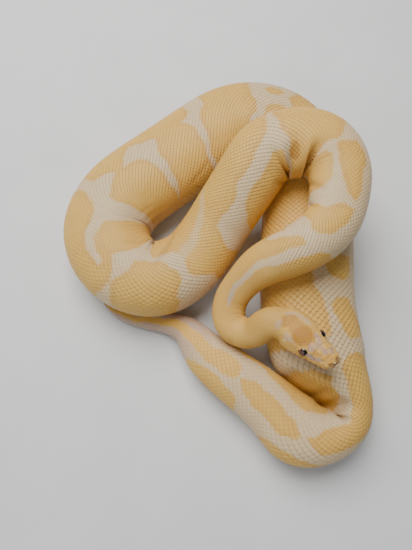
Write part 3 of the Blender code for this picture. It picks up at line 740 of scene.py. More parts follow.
class Skin:
    """The skin as a fine grid, and what can be read from it at any place.

    Rows run from the snout to the tail. Columns run round the body by even shares of half the
    girth: share 0 is the middle of the back, and shares -1 and 1 are the middle of the belly.
    """

    def __init__(self, body):
        self.body = body
        head = np.arange(0.0, HEAD_PROFILE[-1][0], HEAD_ROW)
        steps = int((body.run[-1] - head[-1]) / TRUNK_ROW)
        self.at = np.concatenate([head, np.linspace(head[-1], body.run[-1], steps + 1)[1:]])
        self.shares = np.linspace(-1.0, 1.0, COLUMNS + 1)
        rings = jaw_set_back(body, body.rings(self.at, OUTLINE_SIDES), self.at)
        rings = self.round_tail(rings)
        top, half = OUTLINE_SIDES // 4, OUTLINE_SIDES // 2
        left = np.take(rings, np.arange(top, top + half + 1), axis=1, mode="wrap")
        right = np.take(rings, np.arange(top, top - half - 1, -1), axis=1, mode="wrap")
        shares = np.linspace(0.0, 1.0, COLUMNS // 2 + 1)
        left, left_angles, left_girth = by_girth(left, shares)
        right, right_angles, right_girth = by_girth(right, shares)
        self.half_girth = (left_girth + right_girth) / 2
        self.points = np.concatenate([right[:, :0:-1], left], axis=1)
        self.angles = np.concatenate([-right_angles[:, :0:-1], left_angles], axis=1)
        self.stretch = np.linalg.norm(np.gradient(self.points, self.at, axis=0), axis=2)
        # Painted shade of the creases: how dark each point is painted where shade falls.
        self.crease_shade = np.zeros(self.angles.shape)
        self.points -= outward(self.points) * self.carve()[:, :, None]
        self.points[:, :, 2] = np.maximum(self.points[:, :, 2], COAT_DEPTH / 2)
        self.normals = outward(self.points)
        extra = np.stack([self.angles, self.stretch, self.crease_shade], axis=2)
        self.table = np.concatenate([self.points, self.normals, extra], axis=2)

    def round_tail(self, rings):
        """Round the tail off at its tip."""
        left = (self.at[-1] - self.at) / TAIL_ROUND
        size = np.sqrt(np.clip(1 - (1 - np.clip(left, 0, 1)) ** 2, TAIL_LEAST, 1))[:, None, None]
        centre = rings.mean(axis=1)[:, None, :]
        return centre + (rings - centre) * size

    def carve(self):
        """How deep each point lies under the outside of the coat."""
        across = self.angles / 180 * self.half_girth[:, None]
        carved = self.folds(across) + self.wrinkles(across) + self.hollows(across) + self.mouth()
        return COAT_DEPTH + carved

    def darken(self, shade):
        """Let the painted shade of a crease be at least this dark."""
        self.crease_shade = np.maximum(self.crease_shade, shade)

    def folds(self, across):
        """Depth of the large folds, and the painted shade along their bottoms."""
        depth = np.zeros(across.shape)
        for start, start_angle, end, end_angle, width, deep in FOLDS:
            reach = self.girth_at((start + end) / 2) / 180
            low, high = np.array([start, start_angle * reach]), np.array([end, end_angle * reach])
            away, place = from_segment(self.at[:, None], across, low, high)
            rise = np.sin(np.pi * np.clip(place, *FOLD_TAPER))
            fold = bump(away, width) * (FOLD_ENDS + (1 - FOLD_ENDS) * rise)
            depth += deep * fold
            # Painted shade along the bottom of the fold.
            self.darken(FOLD_SHADE * fold * min(deep, 1.0))
        return depth

    def wrinkles(self, across):
        """Depth of the fine wrinkles where a bend crowds the skin, with painted shade in their
        troughs.
        """
        at = self.at[:, None]
        bent = smooth(*CROWDED, self.stretch) * (at > HEAD_LENGTH)
        wave = np.sin(2 * np.pi * at / WRINKLE_PITCH + WRINKLE_SWAY * np.sin(across / SWAY_LENGTH))
        # Painted shade in the troughs.
        self.darken(WRINKLE_SHADE * bent * (0.5 - 0.5 * wave))
        return WRINKLE_DEPTH * bent * (0.5 + 0.5 * wave)

    def hollows(self, across):
        """Depth of the nostrils, the pits and the shallow hollows of the head, and the painted
        shade inside the nostrils.
        """
        at = self.at[:, None]
        depth = np.zeros(across.shape)
        for name, back, angle, length, height, deep in HOLLOWS:
            reach = self.girth_at(back) / 180
            for side in ((-1, 1) if angle else (1,)):
                away = ((at - back) / length) ** 2 + ((across - side * angle * reach) / height) ** 2
                hollow = np.exp(-away)
                depth += deep * hollow
                # Painted shade inside the nostrils.
                if name == "nostril":
                    self.darken(hollow)
        return depth

    def mouth(self):
        """Depth of the closed mouth's line, and the painted shade along it."""
        fade = smooth(MOUTH_LENGTH, MOUTH_FADE, self.at[:, None])
        lip = bump(self.level() - MOUTH_LEVEL, MOUTH_WIDTH) * fade
        self.darken(MOUTH_SHADE * lip)
        return MOUTH_DEPTH * lip

    def level(self):
        """Height of each point over the section's widest level."""
        centre = self.body.read(self.body.points, self.at)[:, None, :]
        up = self.body.read(self.body.up, self.at)[:, None, :]
        return ((self.points - centre) * up).sum(axis=2)

    def spot(self, at, share):
        """Place, outward direction, angle, stretch and painted crease shade at distances and
        shares.
        """
        row = np.interp(at, self.at, np.arange(len(self.at)))
        column = ((share + 1) % 2) / 2 * COLUMNS
        i = np.clip(row.astype(int), 0, len(self.at) - 2)
        j = np.clip(column.astype(int), 0, COLUMNS - 1)
        a, b = (row - i)[..., None], (column - j)[..., None]
        front = self.table[i, j] * (1 - b) + self.table[i, j + 1] * b
        back = self.table[i + 1, j] * (1 - b) + self.table[i + 1, j + 1] * b
        found = front * (1 - a) + back * a
        place, normal = found[..., :3], found[..., 3:6]
        normal = normal / np.maximum(np.linalg.norm(normal, axis=-1), 1e-9)[..., None]
        return place, normal, found[..., 6], found[..., 7], found[..., 8]

    def girth_at(self, at):
        """Half the girth at given distances."""
        return np.interp(at, self.at, self.half_girth)

    def share_at_angle(self, at, angle):
        """Share of half the girth at an angle, at one distance."""
        row = int(round(float(np.interp(at, self.at, np.arange(len(self.at))))))
        return float(np.interp(angle, self.angles[row], self.shares))

    def share_at_level(self, at, level):
        """Share of half the girth at which the head's side has a given height."""
        front = self.at < MOUTH_SEARCH
        levels = self.level()[front, COLUMNS // 2:]
        shares = self.shares[COLUMNS // 2:]
        return np.interp(at, self.at[front], [np.interp(-level, -row, shares) for row in levels])


def from_segment(at, across, start, end):
    """Distance of points from a straight stroke, and how far along it they lie."""
    line = end - start
    place = ((at - start[0]) * line[0] + (across - start[1]) * line[1]) / (line @ line)
    held = np.clip(place, 0.0, 1.0)
    away = np.hypot(at - start[0] - held * line[0], across - start[1] - held * line[1])
    return away, held


@lru_cache(maxsize=1)
def the_skin():
    """The one skin that every piece is laid on."""
    return Skin(Body())


def stripe(skin, at, angle, line):
    """How far inside a stripe points lie, in millimetres (less than 0 is outside)."""
    reach = skin.girth_at(line[len(line) // 2][0]) / 180
    best = np.full(np.broadcast(at, angle).shape, -FAR)
    for (start, low, thin), (end, high, thick) in zip(line[:-1], line[1:]):
        away, place = from_segment(at, angle * reach, np.array([start, low * reach]),
                                   np.array([end, high * reach]))
        best = np.maximum(best, thin + (thick - thin) * place - away)
    return best


def inside_outline(skin, at, angle, outline):
    """How far inside a closed outline points lie, in millimetres (less than 0 is outside)."""
    reach = skin.girth_at(np.mean([row[0] for row in outline])) / 180
    corners = np.array(outline, float) * (1.0, reach)
    across = angle * reach
    nearest = np.full(at.shape, FAR)
    odd = np.zeros(at.shape, bool)
    for start, end in zip(corners, np.roll(corners, -1, axis=0)):
        away, _ = from_segment(at, across, start, end)
        nearest = np.minimum(nearest, away)
        rise = end[1] - start[1]
        if rise:
            where = start[0] + (across - start[1]) * (end[0] - start[0]) / rise
            odd ^= ((start[1] > across) != (end[1] > across)) & (at < where)
    return np.where(odd, nearest, -nearest)


def inside_any(skin, at, angle, outlines):
    """How far inside the nearest of several outlines points lie."""
    at, angle = np.broadcast_arrays(at, angle)
    inside = np.full(at.shape, -FAR)
    for outline in outlines:
        low = min(row[0] for row in outline) - BLOTCH_REACH
        high = max(row[0] for row in outline) + BLOTCH_REACH
        near = (at > low) & (at < high)
        found = inside_outline(skin, at[near], angle[near], outline)
        inside[near] = np.maximum(inside[near], found)
    return inside


def wandered(at, across, angle):
    """Places swayed a little along and across, so that no edge is quite straight.

    The divisors are wave lengths, in millimetres for the places and degrees for the angle.
    """
    swayed_at = np.sin(across / 3.1 + at / 7.0) + 0.6 * np.sin(at / 2.3 - angle / 5.0)
    swayed_across = np.sin(at / 3.7) + 0.5 * np.sin(at / 1.9 + angle / 6)
    return at + WAVE * swayed_at, across + WAVE * swayed_across


def add_paint(found, name, strength):
    """Let a paint be at least this strong."""
    found[name] = np.maximum(found[name], strength)


def paint_pattern(skin, at, angle, found):
    """The pale ground between the blotches, and the line inside a blotch's edge."""
    inside = inside_any(skin, at, angle, BLOTCHES)
    inside = np.minimum(inside, -inside_any(skin, at, angle, GAPS))
    for line in STRIPES:
        inside = np.minimum(inside, -stripe(skin, at, angle, line))
    pale = 1 - smooth(-BLOTCH_EDGE, BLOTCH_EDGE, inside)
    for line in FAINT_STRIPES:
        faint = smooth(-FAINT_EDGE, FAINT_EDGE, stripe(skin, at, angle, line))
        pale = np.maximum(pale, FAINTNESS * faint)
    trunk = smooth(*PATTERN_START, at)
    found["pale"] = pale * trunk
    found["rim"] = bump(inside - RIM_INSIDE, RIM_WIDTH) * trunk * smooth(*RIM_END, at)


def paint_warmth_and_fold_shade(at, across, reach, found):
    """The redder yellow of folded and inward skin, partly its own tone and partly painted warm
    shade and bounce light.
    """
    for start, end, low, high, strength in WARM_AND_FOLD_SHADE_PARTS:
        part = smooth(start - WARM_BLUR, start + WARM_BLUR, at)
        part = part * smooth(end + WARM_BLUR, end - WARM_BLUR, at)
        part = part * smooth(-WARM_BLUR, WARM_BLUR, across - low * reach)
        part = part * smooth(WARM_BLUR, -WARM_BLUR, across - high * reach)
        add_paint(found, "warm_and_fold_shade", strength * part * (1 - PALE_HOLDS * found["pale"]))


def paint_patches(places, swayed, reach, found):
    """The round patches, painted shade among them. Painted shade keeps its true place, and the
    other paints wander.
    """
    for name, back, angle, length, height, strength in PATCHES:
        at, across = places if name == "shade" else swayed
        away = ((at - back) / length) ** 2 + ((across - angle * reach) / height) ** 2
        add_paint(found, name, strength * smooth(*PATCH_EDGE, away))
    at, across = places
    # A ring of painted shade round each front pit.
    for back, angle, length, height in PIT_RINGS:
        away = np.hypot((at - back) / length, (across - angle * reach) / height)
        add_paint(found, "shade", PIT_SHADE * bump(away - 1, PIT_LINE))


def paints_on(skin, at, angle, crease_shade):
    """How strongly each paint covers points, from their distance and angle."""
    reach = skin.girth_at(at) / 180
    places = at, angle * reach
    at, across = wandered(*places, angle)
    found = {name: np.zeros(across.shape) for name in PAINTS}
    paint_pattern(skin, at, across / reach, found)
    paint_warmth_and_fold_shade(at, across, reach, found)
    paint_patches(places, (at, across), reach, found)
    for low, high, strength in LILAC_ENDS:
        add_paint(found, "lilac", strength * found["pale"] * smooth(low, high, at))
    # The painted shade of the creases goes into the shade paint.
    add_paint(found, "shade", crease_shade)
    belly = smooth(BELLY_ANGLE - BELLY_BLUR, BELLY_ANGLE + BELLY_BLUR, np.abs(angle))
    folded = smooth(*FOLDED_IN, at) * smooth(*FOLDED_OUT, at) * (angle > 0)
    add_paint(found, "belly", belly * smooth(*BELLY_START, at) * (1 - folded))
    return found


def add_paints(mesh, found):
    """Store the paints on a mesh's points."""
    for name, values in found.items():
        layer = mesh.attributes.new(name, "FLOAT", "POINT")
        layer.data.foreach_set("value", np.ascontiguousarray(values, np.float32).ravel())


def finished_mesh(built, name):
    """A mesh from a bmesh, which is used up."""
    mesh = bpy.data.meshes.new(name)
    built.to_mesh(mesh)
    built.free()
    return mesh


def move_points(mesh, places):
    """Put a mesh's points at places given in millimetres."""
    mesh.vertices.foreach_set("co", (places * MM).astype(np.float32).ravel())


def add_piece(mesh, name, material, nodes):
    """A finished piece: it stands at the origin, rides on the body and stands for CAD nodes."""
    mesh.materials.append(material)
    made = bpy.data.objects.new(name, mesh)
    bpy.context.scene.collection.objects.link(made)
    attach(made, BODY)
    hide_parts(*nodes)


def make_skin_mesh(skin):
    """The whole skin as one closed mesh with its map and paints."""
    rows, columns = skin.points.shape[:2]
    caps = len(END_CAP)
    first, last = skin.points[0], skin.points[-1]
    front = [first.mean(axis=0) * (1 - size) + first * size for size in END_CAP]
    back = [last.mean(axis=0) * (1 - size) + last * size for size in reversed(END_CAP)]
    points = np.concatenate([np.array(front), skin.points, np.array(back)])
    row_of = np.clip(np.arange(rows + 2 * caps) - caps, 0, rows - 1)
    built = bmesh.new()
    bmesh.ops.create_grid(built, x_segments=columns - 1, y_segments=len(points) - 1, size=1)
    mesh = finished_mesh(built, "python_skin")
    move_points(mesh, points)
    found = paints_on(skin, skin.at[:, None], skin.angles, skin.crease_shade)
    add_paints(mesh, {name: values[row_of] for name, values in found.items()})
    unroll_skin(mesh, skin, row_of, columns)
    built = bmesh.new()
    built.from_mesh(mesh)
    bmesh.ops.remove_doubles(built, verts=built.verts, dist=MERGE)
    bmesh.ops.recalc_face_normals(built, faces=built.faces)
    built.to_mesh(mesh)
    built.free()
    mesh.shade_smooth()
    return mesh


def unroll_skin(mesh, skin, row_of, columns):
    """Unroll the skin into two strips, the front half of the animal beside the rear half."""
    corner = np.empty(len(mesh.loops), np.int32)
    mesh.loops.foreach_get("vertex_index", corner)
    row, column = corner // columns, corner % columns
    caps = len(END_CAP)
    at = skin.at[row_of]
    at[:caps] -= np.arange(caps, 0, -1)
    at[-caps:] += np.arange(1, caps + 1)
    middle = len(at) // 2
    rear = np.repeat(row.reshape(-1, 4).min(axis=1) >= middle, 4)
    scale = MAP_FILL / max(at[middle] - at[0], at[-1] - at[middle])
    across = skin.shares[column] * skin.half_girth[row_of[row]] * scale
    along_strip = (at[row] - np.where(rear, at[middle], at[0])) * scale
    across += np.where(rear, 0.75, 0.25)
    add_map(mesh, np.stack([across, (1 - MAP_FILL) / 2 + along_strip], axis=1))


def add_map(mesh, places):
    """Give a mesh its map, from the place of each face's corners."""
    layer = mesh.uv_layers.new(name=BAKE_MAP)
    layer.data.foreach_set("uv", places.astype(np.float32).ravel())


class Coat:
    """How the scales are counted out over the skin: rows round it, and steps along it."""

    def __init__(self, skin, settings):
        self.skin = skin
        self.at = np.linspace(0.0, skin.at[-1], int(skin.at[-1]) * 2)
        self.rows = table_at(SCALE_ROWS, self.at)
        self.width = skin.girth_at(self.at) / self.rows
        length = self.width * settings.length_to_width
        length = np.where(self.at < HEAD_SCALE_END, np.minimum(length, HEAD_SCALE_LENGTH), length)
        count = np.diff(self.at) * (1 / length[1:] + 1 / length[:-1]) / 2
        self.count = np.concatenate([[0.0], np.cumsum(count)])

    def at_count(self, count):
        """Distance at which a number of scale lengths has been laid."""
        return np.interp(count, self.count, self.at)

    def roots(self, start, end):
        """Count and row of each scale's middle between two distances, in staggered rows."""
        low, high = np.interp([start, end], self.at, self.count)
        most = int(self.rows.max()) + 1
        found = []
        for row in range(-most, most + 1):
            offset = 0.5 * (row % 2)
            count = np.arange(math.ceil(low - offset), math.ceil(high - offset)) + offset
            at = self.at_count(count)
            rows = np.interp(at, self.at, self.rows)
            kept = count[np.abs(row / rows) <= table_at(SCUTE_EDGE, at) - SCUTE_ROOM / rows]
            found.append(np.column_stack([kept, np.full(len(kept), row)]))
        return np.concatenate(found)

    def lay(self, middles, along_scale, across_scale):
        """Distance and share of each corner of each scale, and each scale's width."""
        at = self.at_count(middles[:, :1] + along_scale)
        row = middles[:, 1:] + across_scale
        share = row / np.interp(at, self.at, self.rows)
        width = np.interp(self.at_count(middles[:, 0]), self.at, self.width)
        return at, share, width


def plate(outline, inner, steps=()):
    """One plate as corners and faces: a flat underside, a rim and a raised middle.

    The middle starts at the inner size and may have further rings, each a step smaller.
    Each corner holds its place along and across, and its level: 0 under, 1 rim, 2 middle.
    """
    built = bmesh.new()
    base = bmesh.ops.create_circle(built, cap_ends=True, segments=len(outline), radius=1)
    for corner, (x, y) in zip(base["verts"], outline):
        corner.co = (x, y, 0)
    top = list(built.faces)
    for level, size in ((1, 1.0), (2, inner), *((2, step) for step in steps)):
        below = top
        raised = bmesh.ops.extrude_face_region(built, geom=below, use_keep_orig=True)
        top = [item for item in raised["geom"] if isinstance(item, bmesh.types.BMFace)]
        for corner in (item for item in raised["geom"] if isinstance(item, bmesh.types.BMVert)):
            corner.co = (corner.co.x * size, corner.co.y * size, level)
        if level > 1:
            bmesh.ops.delete(built, geom=below, context="FACES_ONLY")
    return corners_and_faces(built)


def slab(steps_along, steps_across):
    """One thin slab of many faces: places along and across run from -1 to 1, levels 0 and 2."""
    built = bmesh.new()
    bmesh.ops.create_grid(built, x_segments=steps_along, y_segments=steps_across, size=1)
    raised = bmesh.ops.extrude_face_region(built, geom=list(built.faces), use_keep_orig=True)
    for corner in (item for item in raised["geom"] if isinstance(item, bmesh.types.BMVert)):
        corner.co.z = 2
    return corners_and_faces(built)


def corners_and_faces(built):
    """Read a bmesh as an array of corners and lists of corner numbers, faces outwards.

    Blender may list the faces, and the corners of each, in another order on the next run, so
    both are put in order here.
    """
    bmesh.ops.recalc_face_normals(built, faces=built.faces)
    built.verts.index_update()
    corners = np.array([corner.co for corner in built.verts])
    faces = [[corner.index for corner in face.verts] for face in built.faces]
    built.free()
    return corners, sorted(from_lowest(face) for face in faces)


def from_lowest(ring):
    """The same ring of numbers, begun at its lowest."""
    start = ring.index(min(ring))
    return ring[start:] + ring[:start]


def scale_outline(table):
    """Both sides of a scale's outline from half of it, in order round the scale."""
    forth = [(x, y) for x, y in table]
    back = [(x, -y) for x, y in reversed(table[1:-1])]
    return forth + back


def round_outline(sides, squareness):
    """An evenly rounded outline of size 1, between an ellipse and a rectangle."""
    angles = np.arange(sides) * 2 * np.pi / sides
    power = 2 / squareness
    x, y = np.cos(angles), np.sin(angles)
    return list(zip(np.sign(x) * np.abs(x) ** power, np.sign(y) * np.abs(y) ** power))


def joined_mesh(name, places, faces, patches, patch_centres, found):
    """One mesh of many like plates, from each plate's corners and one list of faces."""
    count, corners = places.shape[:2]
    mesh = bpy.data.meshes.new(name)
    lengths = np.array([len(face) for face in faces])
    corner_of = np.concatenate([np.array(face) for face in faces])
    every = (corner_of[None, :] + corners * np.arange(count)[:, None]).ravel()
    starts = np.concatenate([[0], np.cumsum(np.tile(lengths, count))[:-1]])
    mesh.vertices.add(count * corners)
    move_points(mesh, places)
    mesh.loops.add(len(every))
    mesh.loops.foreach_set("vertex_index", every.astype(np.int32))
    mesh.polygons.add(len(starts))
    mesh.polygons.foreach_set("loop_start", starts.astype(np.int32))
    mesh.update(calc_edges=True)
    mesh.shade_smooth()
    add_map(mesh, patch_centres[:, None, :] + patches[corner_of][None, :, :])
    add_paints(mesh, found)
    return mesh


def by_level(corners, values):
    """One of three values for each corner of a plate: underside, rim or middle."""
    return np.array(values)[corners[:, 2].astype(int)]


def patch_shape(corners):
    """Where a plate's corners lie in its own small patch of the map."""
    flat = corners[:, :2] / np.maximum(np.linalg.norm(corners[:, :2], axis=1), 1e-6)[:, None]
    return flat * by_level(corners, PATCH_LEVELS)[:, None] * PATCH / 2


def patch_places(skin, at, share, start, end):
    """Where roots lie on the skin between two distances, unrolled to fill the map."""
    scale = MAP_FILL / max(end - start, 2 * skin.half_girth.max())
    across = 0.5 + share * skin.girth_at(at) * scale
    return np.stack([across, (1 - MAP_FILL) / 2 + (at - start) * scale], axis=1)


def lay_plates(name, skin, corners, faces, at, share, heights, middle_at, middle_share, span,
               random, paint_spread=PAINT_SPREAD, rim=1.0):
    """Set plates on the skin at given distances, shares and heights, as one mesh, with painted
    shade along each plate's rim as strong as rim.
    """
    place, normal, _, stretch, _ = skin.spot(at, share)
    held = np.clip((stretch - HELD_FROM) * HELD_SLOPE, HELD_LEAST, 1.0)
    place = place + normal * (heights * held)[:, :, None]
    place[:, :, 2] = np.maximum(place[:, :, 2], FLOOR_CLEAR)
    read_at = middle_at[:, None] + (at - middle_at[:, None]) * paint_spread
    read_share = middle_share[:, None] + (share - middle_share[:, None]) * paint_spread
    # The plates take on part of the painted shade of the creases under them.
    _, _, angle, _, crease_shade = skin.spot(read_at, read_share)
    found = paints_on(skin, read_at, angle, crease_shade * PLATE_CREASE_SHADE)
    tone = random.uniform(-1.0, 1.0, (len(middle_at), 1))
    found["tone"] = np.broadcast_to(tone, at.shape)
    # Painted shade along each plate's rim and underside, none on its raised middle.
    found["edge"] = np.broadcast_to(by_level(corners, (rim, rim, 0.0)), at.shape)
    centres = patch_places(skin, middle_at, middle_share, *span)
    return joined_mesh(name, place, faces, patch_shape(corners), centres, found)


def make_coat_mesh(skin, coat, settings, name, start, end):
    """The scales between two distances, as one mesh."""
    random = np.random.default_rng(SEED + int(start))
    corners, faces = plate(scale_outline(SCALE_OUTLINE), PLATEAU)
    middles = coat.roots(start, end)
    at_middle = coat.at_count(middles[:, 0])
    share_middle = middles[:, 1] / np.interp(at_middle, coat.at, coat.rows)
    if start < HEAD_SCALE_END:
        kept = clear_of_shields(skin, at_middle, share_middle)
        middles, at_middle, share_middle = middles[kept], at_middle[kept], share_middle[kept]
    gap = 1 - settings.gap
    at, share, width = coat.lay(middles, corners[None, :, 0], corners[None, :, 1] * gap)
    root, tip = SCALE_OUTLINE[0][0], SCALE_OUTLINE[-1][0]
    slope = (corners[:, 0] - root) / (tip - root)
    thick = settings.thickness * by_level(corners, SCALE_LEVELS)
    rise = settings.lift * slope - SUNK * (1 - slope)
    jitter = 1 + SCALE_JITTER * random.uniform(-1.0, 1.0, (len(middles), 1))
    heights = (rise + thick)[None, :] * width[:, None] / SCALE_WIDTH * jitter
    at = np.clip(at, 0.0, skin.at[-1])
    return lay_plates(name, skin, corners, faces, at, share, heights, at_middle, share_middle,
                      (start, end), random)


def shield_seeds(skin):
    """Middles and sizes of the shields: distance back, distance round the head and size."""
    return [(back, side * skin.share_at_angle(back, angle) * round_head(skin, back), size)
            for _, back, angle, size in SHIELDS for side in ((-1, 1) if angle else (1,))]


def round_head(skin, at):
    """Half the girth of the head, held where the snout closes."""
    return skin.girth_at(np.maximum(at, SNOUT_HOLD))


def shield_reach(skin, seed, turn):
    """How far a shield reaches from its middle in each direction, up to its neighbours."""
    eye = skin.share_at_angle(EYE_BACK, EYE_ANGLE) * round_head(skin, EYE_BACK)
    ring = EYE_RING_RADIUS + EYE_RING_HEIGHT
    others = shield_seeds(skin) + [(EYE_BACK, -eye, ring), (EYE_BACK, eye, ring)]
    back, across, size = seed
    total = np.full(turn.shape, (size * SHIELD_LIMIT) ** -SHIELD_ROUNDING)
    for other_back, other_across, other_size in others:
        apart = math.hypot(other_back - back, other_across - across)
        if 0 < apart < SHIELD_NEAR:
            border = (apart ** 2 + size ** 2 - other_size ** 2) / (2 * apart) - SHIELD_GAP / 2
            heading = math.atan2(other_across - across, other_back - back)
            facing = np.maximum(np.cos(turn - heading), 0.0)
            total += (facing / max(border, SHIELD_GAP)) ** SHIELD_ROUNDING
    return total ** (-1 / SHIELD_ROUNDING)


def clear_of_shields(skin, at, share):
    """Which head scales keep clear of the lips, the eyes and the shields of the snout."""
    _, _, angle, _, _ = skin.spot(at, share)
    reach = skin.girth_at(at) / 180
    mouth = skin.share_at_level(at, MOUTH_LEVEL)
    off_mouth = (np.abs(share) - mouth) * skin.girth_at(at)
    lips = (off_mouth > -LIP_HEIGHT - ABOVE_LIP) & (off_mouth < LIP_HEIGHT + BELOW_LIP)
    lips &= at < LIP_END
    eye = np.hypot(at - EYE_BACK, (np.abs(angle) - EYE_ANGLE) * reach) < EYE_CLEAR
    across = share * round_head(skin, at)
    shields = np.zeros(len(at), bool)
    for seed in shield_seeds(skin):
        away = np.hypot(at - seed[0], across - seed[1])
        turn = np.arctan2(across - seed[1], at - seed[0])
        shields |= away < shield_reach(skin, seed, turn) + SCALE_CLEAR
    return ~(lips | eye | shields)


def shield_corners(skin, corners, seed):
    """Distance and share of one shield's corners."""
    turn = np.arctan2(corners[:, 1], corners[:, 0])
    reach = shield_reach(skin, seed, turn) * np.hypot(corners[:, 0], corners[:, 1])
    at = np.maximum(seed[0] + reach * np.cos(turn), 0.0)
    share = (seed[1] + reach * np.sin(turn)) / round_head(skin, at)
    lip = skin.share_at_level(at, MOUTH_LEVEL)
    lip = lip - (LIP_HEIGHT + LIP_OFFSET + SHIELD_GAP) / round_head(skin, at)
    return at, np.clip(share, -lip, lip)


def ring_corners(skin, corners, back, share, length, turn, side):
    """Distance and share of the corners of one small scale at the rim of an eye."""
    cos, sin = math.cos(turn), math.sin(turn)
    x, y = corners[:, 0] * length, corners[:, 1] * EYE_RING_HEIGHT
    return back + x * cos - y * sin, share + side * (x * sin + y * cos) / skin.girth_at(back)


def lay_lips(skin, corners):
    """Distances and shares of the corners of every lip shield, and its thickness."""
    laid = []
    for count, below in ((UPPER_LIP, -1), (LOWER_LIP, 1)):
        first = LIP_START + (JAW_SETBACK if below > 0 else 0.0)
        pitch = (LIP_END - first) / count
        for index in range(count):
            at = first + pitch * (index + 0.5 + corners[:, 0] * LIP_LENGTH)
            middle = below * (LIP_HEIGHT / 2 + LIP_OFFSET)
            away = (middle + corners[:, 1] * LIP_HEIGHT / 2) / skin.girth_at(at)
            share = skin.share_at_level(at, MOUTH_LEVEL) + away
            laid += [(at, share, LIP_THICKNESS), (at, -share, LIP_THICKNESS)]
    return laid


def lay_eye_rings(skin, corners):
    """Distances and shares of the corners of the scales round the eyes, and their thickness."""
    laid = []
    length = math.pi * EYE_RING_RADIUS / EYE_RING * EYE_RING_FILL
    for side in (-1, 1):
        middle = skin.share_at_angle(EYE_BACK, side * EYE_ANGLE)
        for index in range(EYE_RING):
            turn = 2 * math.pi * (index + 0.5) / EYE_RING
            back = EYE_BACK + math.cos(turn) * EYE_RING_RADIUS
            y = math.sin(turn) * EYE_RING_RADIUS
            share = middle + side * y / skin.girth_at(EYE_BACK)
            place = ring_corners(skin, corners, back, share, length, turn + math.pi / 2, side)
            laid.append((*place, RING_THICKNESS))
    return laid


def make_shields_mesh(skin):
    """The large plates of the snout and crown, the lips and the rings round the eyes."""
    random = np.random.default_rng(SEED)
    shapes = []
    for squareness in (2.0, LIP_SQUARENESS, RING_SQUARENESS):
        outline = round_outline(SHIELD_SIDES, squareness)
        shapes.append(plate(outline, SHIELD_INNER, SHIELD_STEPS))
    (round_shape, _), (lip_shape, _), (corners, faces) = shapes
    laid = [(*shield_corners(skin, round_shape, seed), SHIELD_THICKNESS)
            for seed in shield_seeds(skin)]
    laid += lay_lips(skin, lip_shape) + lay_eye_rings(skin, corners)
    at, share, thickness = (np.array(column) for column in zip(*laid))
    heights = by_level(corners, SHIELD_LEVELS)[None, :] * thickness[:, None]
    return lay_plates("head_shields", skin, corners, faces, at, share, heights,
                      at.mean(axis=1), share.mean(axis=1), (0.0, LIP_END + 2), random,
                      paint_spread=1.0, rim=SHIELD_RIM_SHADE)


def make_scutes_mesh(skin, coat, settings):
    """The broad plates across the belly, each lapping over the next."""
    random = np.random.default_rng(SEED + 1)
    corners, faces = slab(SCUTE_STEPS, SCUTE_FACES)
    low, high = np.interp([SCUTES_START, skin.at[-1] - SCUTES_STOP], coat.at, coat.count)
    middles = np.arange(math.ceil(low), math.floor(high)).astype(float)
    across = corners[:, 1]
    reach = SCUTE_REACH * (1 - SCUTE_ROUND * np.abs(across) ** 3 * (corners[:, 0] > 0))
    at = coat.at_count(middles[:, None] + corners[None, :, 0] * reach)
    edge = (1 - table_at(SCUTE_EDGE, at)) * SCUTE_SPREAD
    share = np.where(across >= 0, 1 - across * edge, -1 - across * edge)
    width = np.interp(at.mean(axis=1), coat.at, coat.width)[:, None] / SCALE_WIDTH
    slope = (corners[:, 0] + 1) / 2
    rise = settings.lift * slope - SUNK * (1 - slope)
    heights = (rise + settings.thickness * corners[:, 2] / 2 * SCUTE_THICKNESS) * width
    middle_at = coat.at_count(middles)
    return lay_plates("belly_scutes", skin, corners, faces, at, share, heights, middle_at,
                      np.full(len(middles), BELLY_MIDDLE), (SCUTES_START, skin.at[-1]), random)


def make_eye_mesh(skin, name, side):
    """One eyeball with its pole outwards, and its readings for the iris and the slit."""
    at = np.array([EYE_BACK])
    body = skin.body
    up, across = body.read(body.up, at)[0], body.read(body.side, at)[0] * side
    centre = body.read(body.points, at)[0] + up * EYE_UP + across * EYE_SIDE
    outwards = across * math.cos(EYE_LIFT) + up * math.sin(EYE_LIFT)
    upwards = up * math.cos(EYE_LIFT) - across * math.sin(EYE_LIFT)
    turned = np.cross(upwards, outwards)
    built = bmesh.new()
    bmesh.ops.create_uvsphere(built, u_segments=EYE_SEGMENTS, v_segments=EYE_SEGMENTS // 2,
                              radius=1.0)
    mesh = finished_mesh(built, name)
    ball = np.array([point.co for point in mesh.vertices])
    move_points(mesh, centre + EYE_RADIUS * (ball @ np.array([turned, upwards, outwards])))
    add_paints(mesh, {"off_axis": np.arccos(np.clip(ball[:, 2], -1, 1)) / math.pi,
                      "off_slit": np.abs(ball[:, 0]), "along_slit": np.abs(ball[:, 1])})
    mesh.shade_smooth()
    return mesh


def new_material(name):
    """An empty material with its shader node."""
    made = bpy.data.materials.new(name)
    made.use_nodes = True
    return made, made.node_tree, made.node_tree.nodes["Principled BSDF"]


def reading(tree, name):
    """A value stored on the piece's points."""
    node = tree.nodes.new("ShaderNodeAttribute")
    node.attribute_name = name
    return node.outputs["Fac"]


def grain(tree, size, detail):
    """Even noise through the piece: features of a given size in millimetres."""
    place = tree.nodes.new("ShaderNodeTexCoord")
    noise = tree.nodes.new("ShaderNodeTexNoise")
    noise.inputs["Scale"].default_value = 1 / (size * MM)
    noise.inputs["Detail"].default_value = detail
    tree.links.new(place.outputs["Object"], noise.inputs["Vector"])
    return noise.outputs["Fac"]


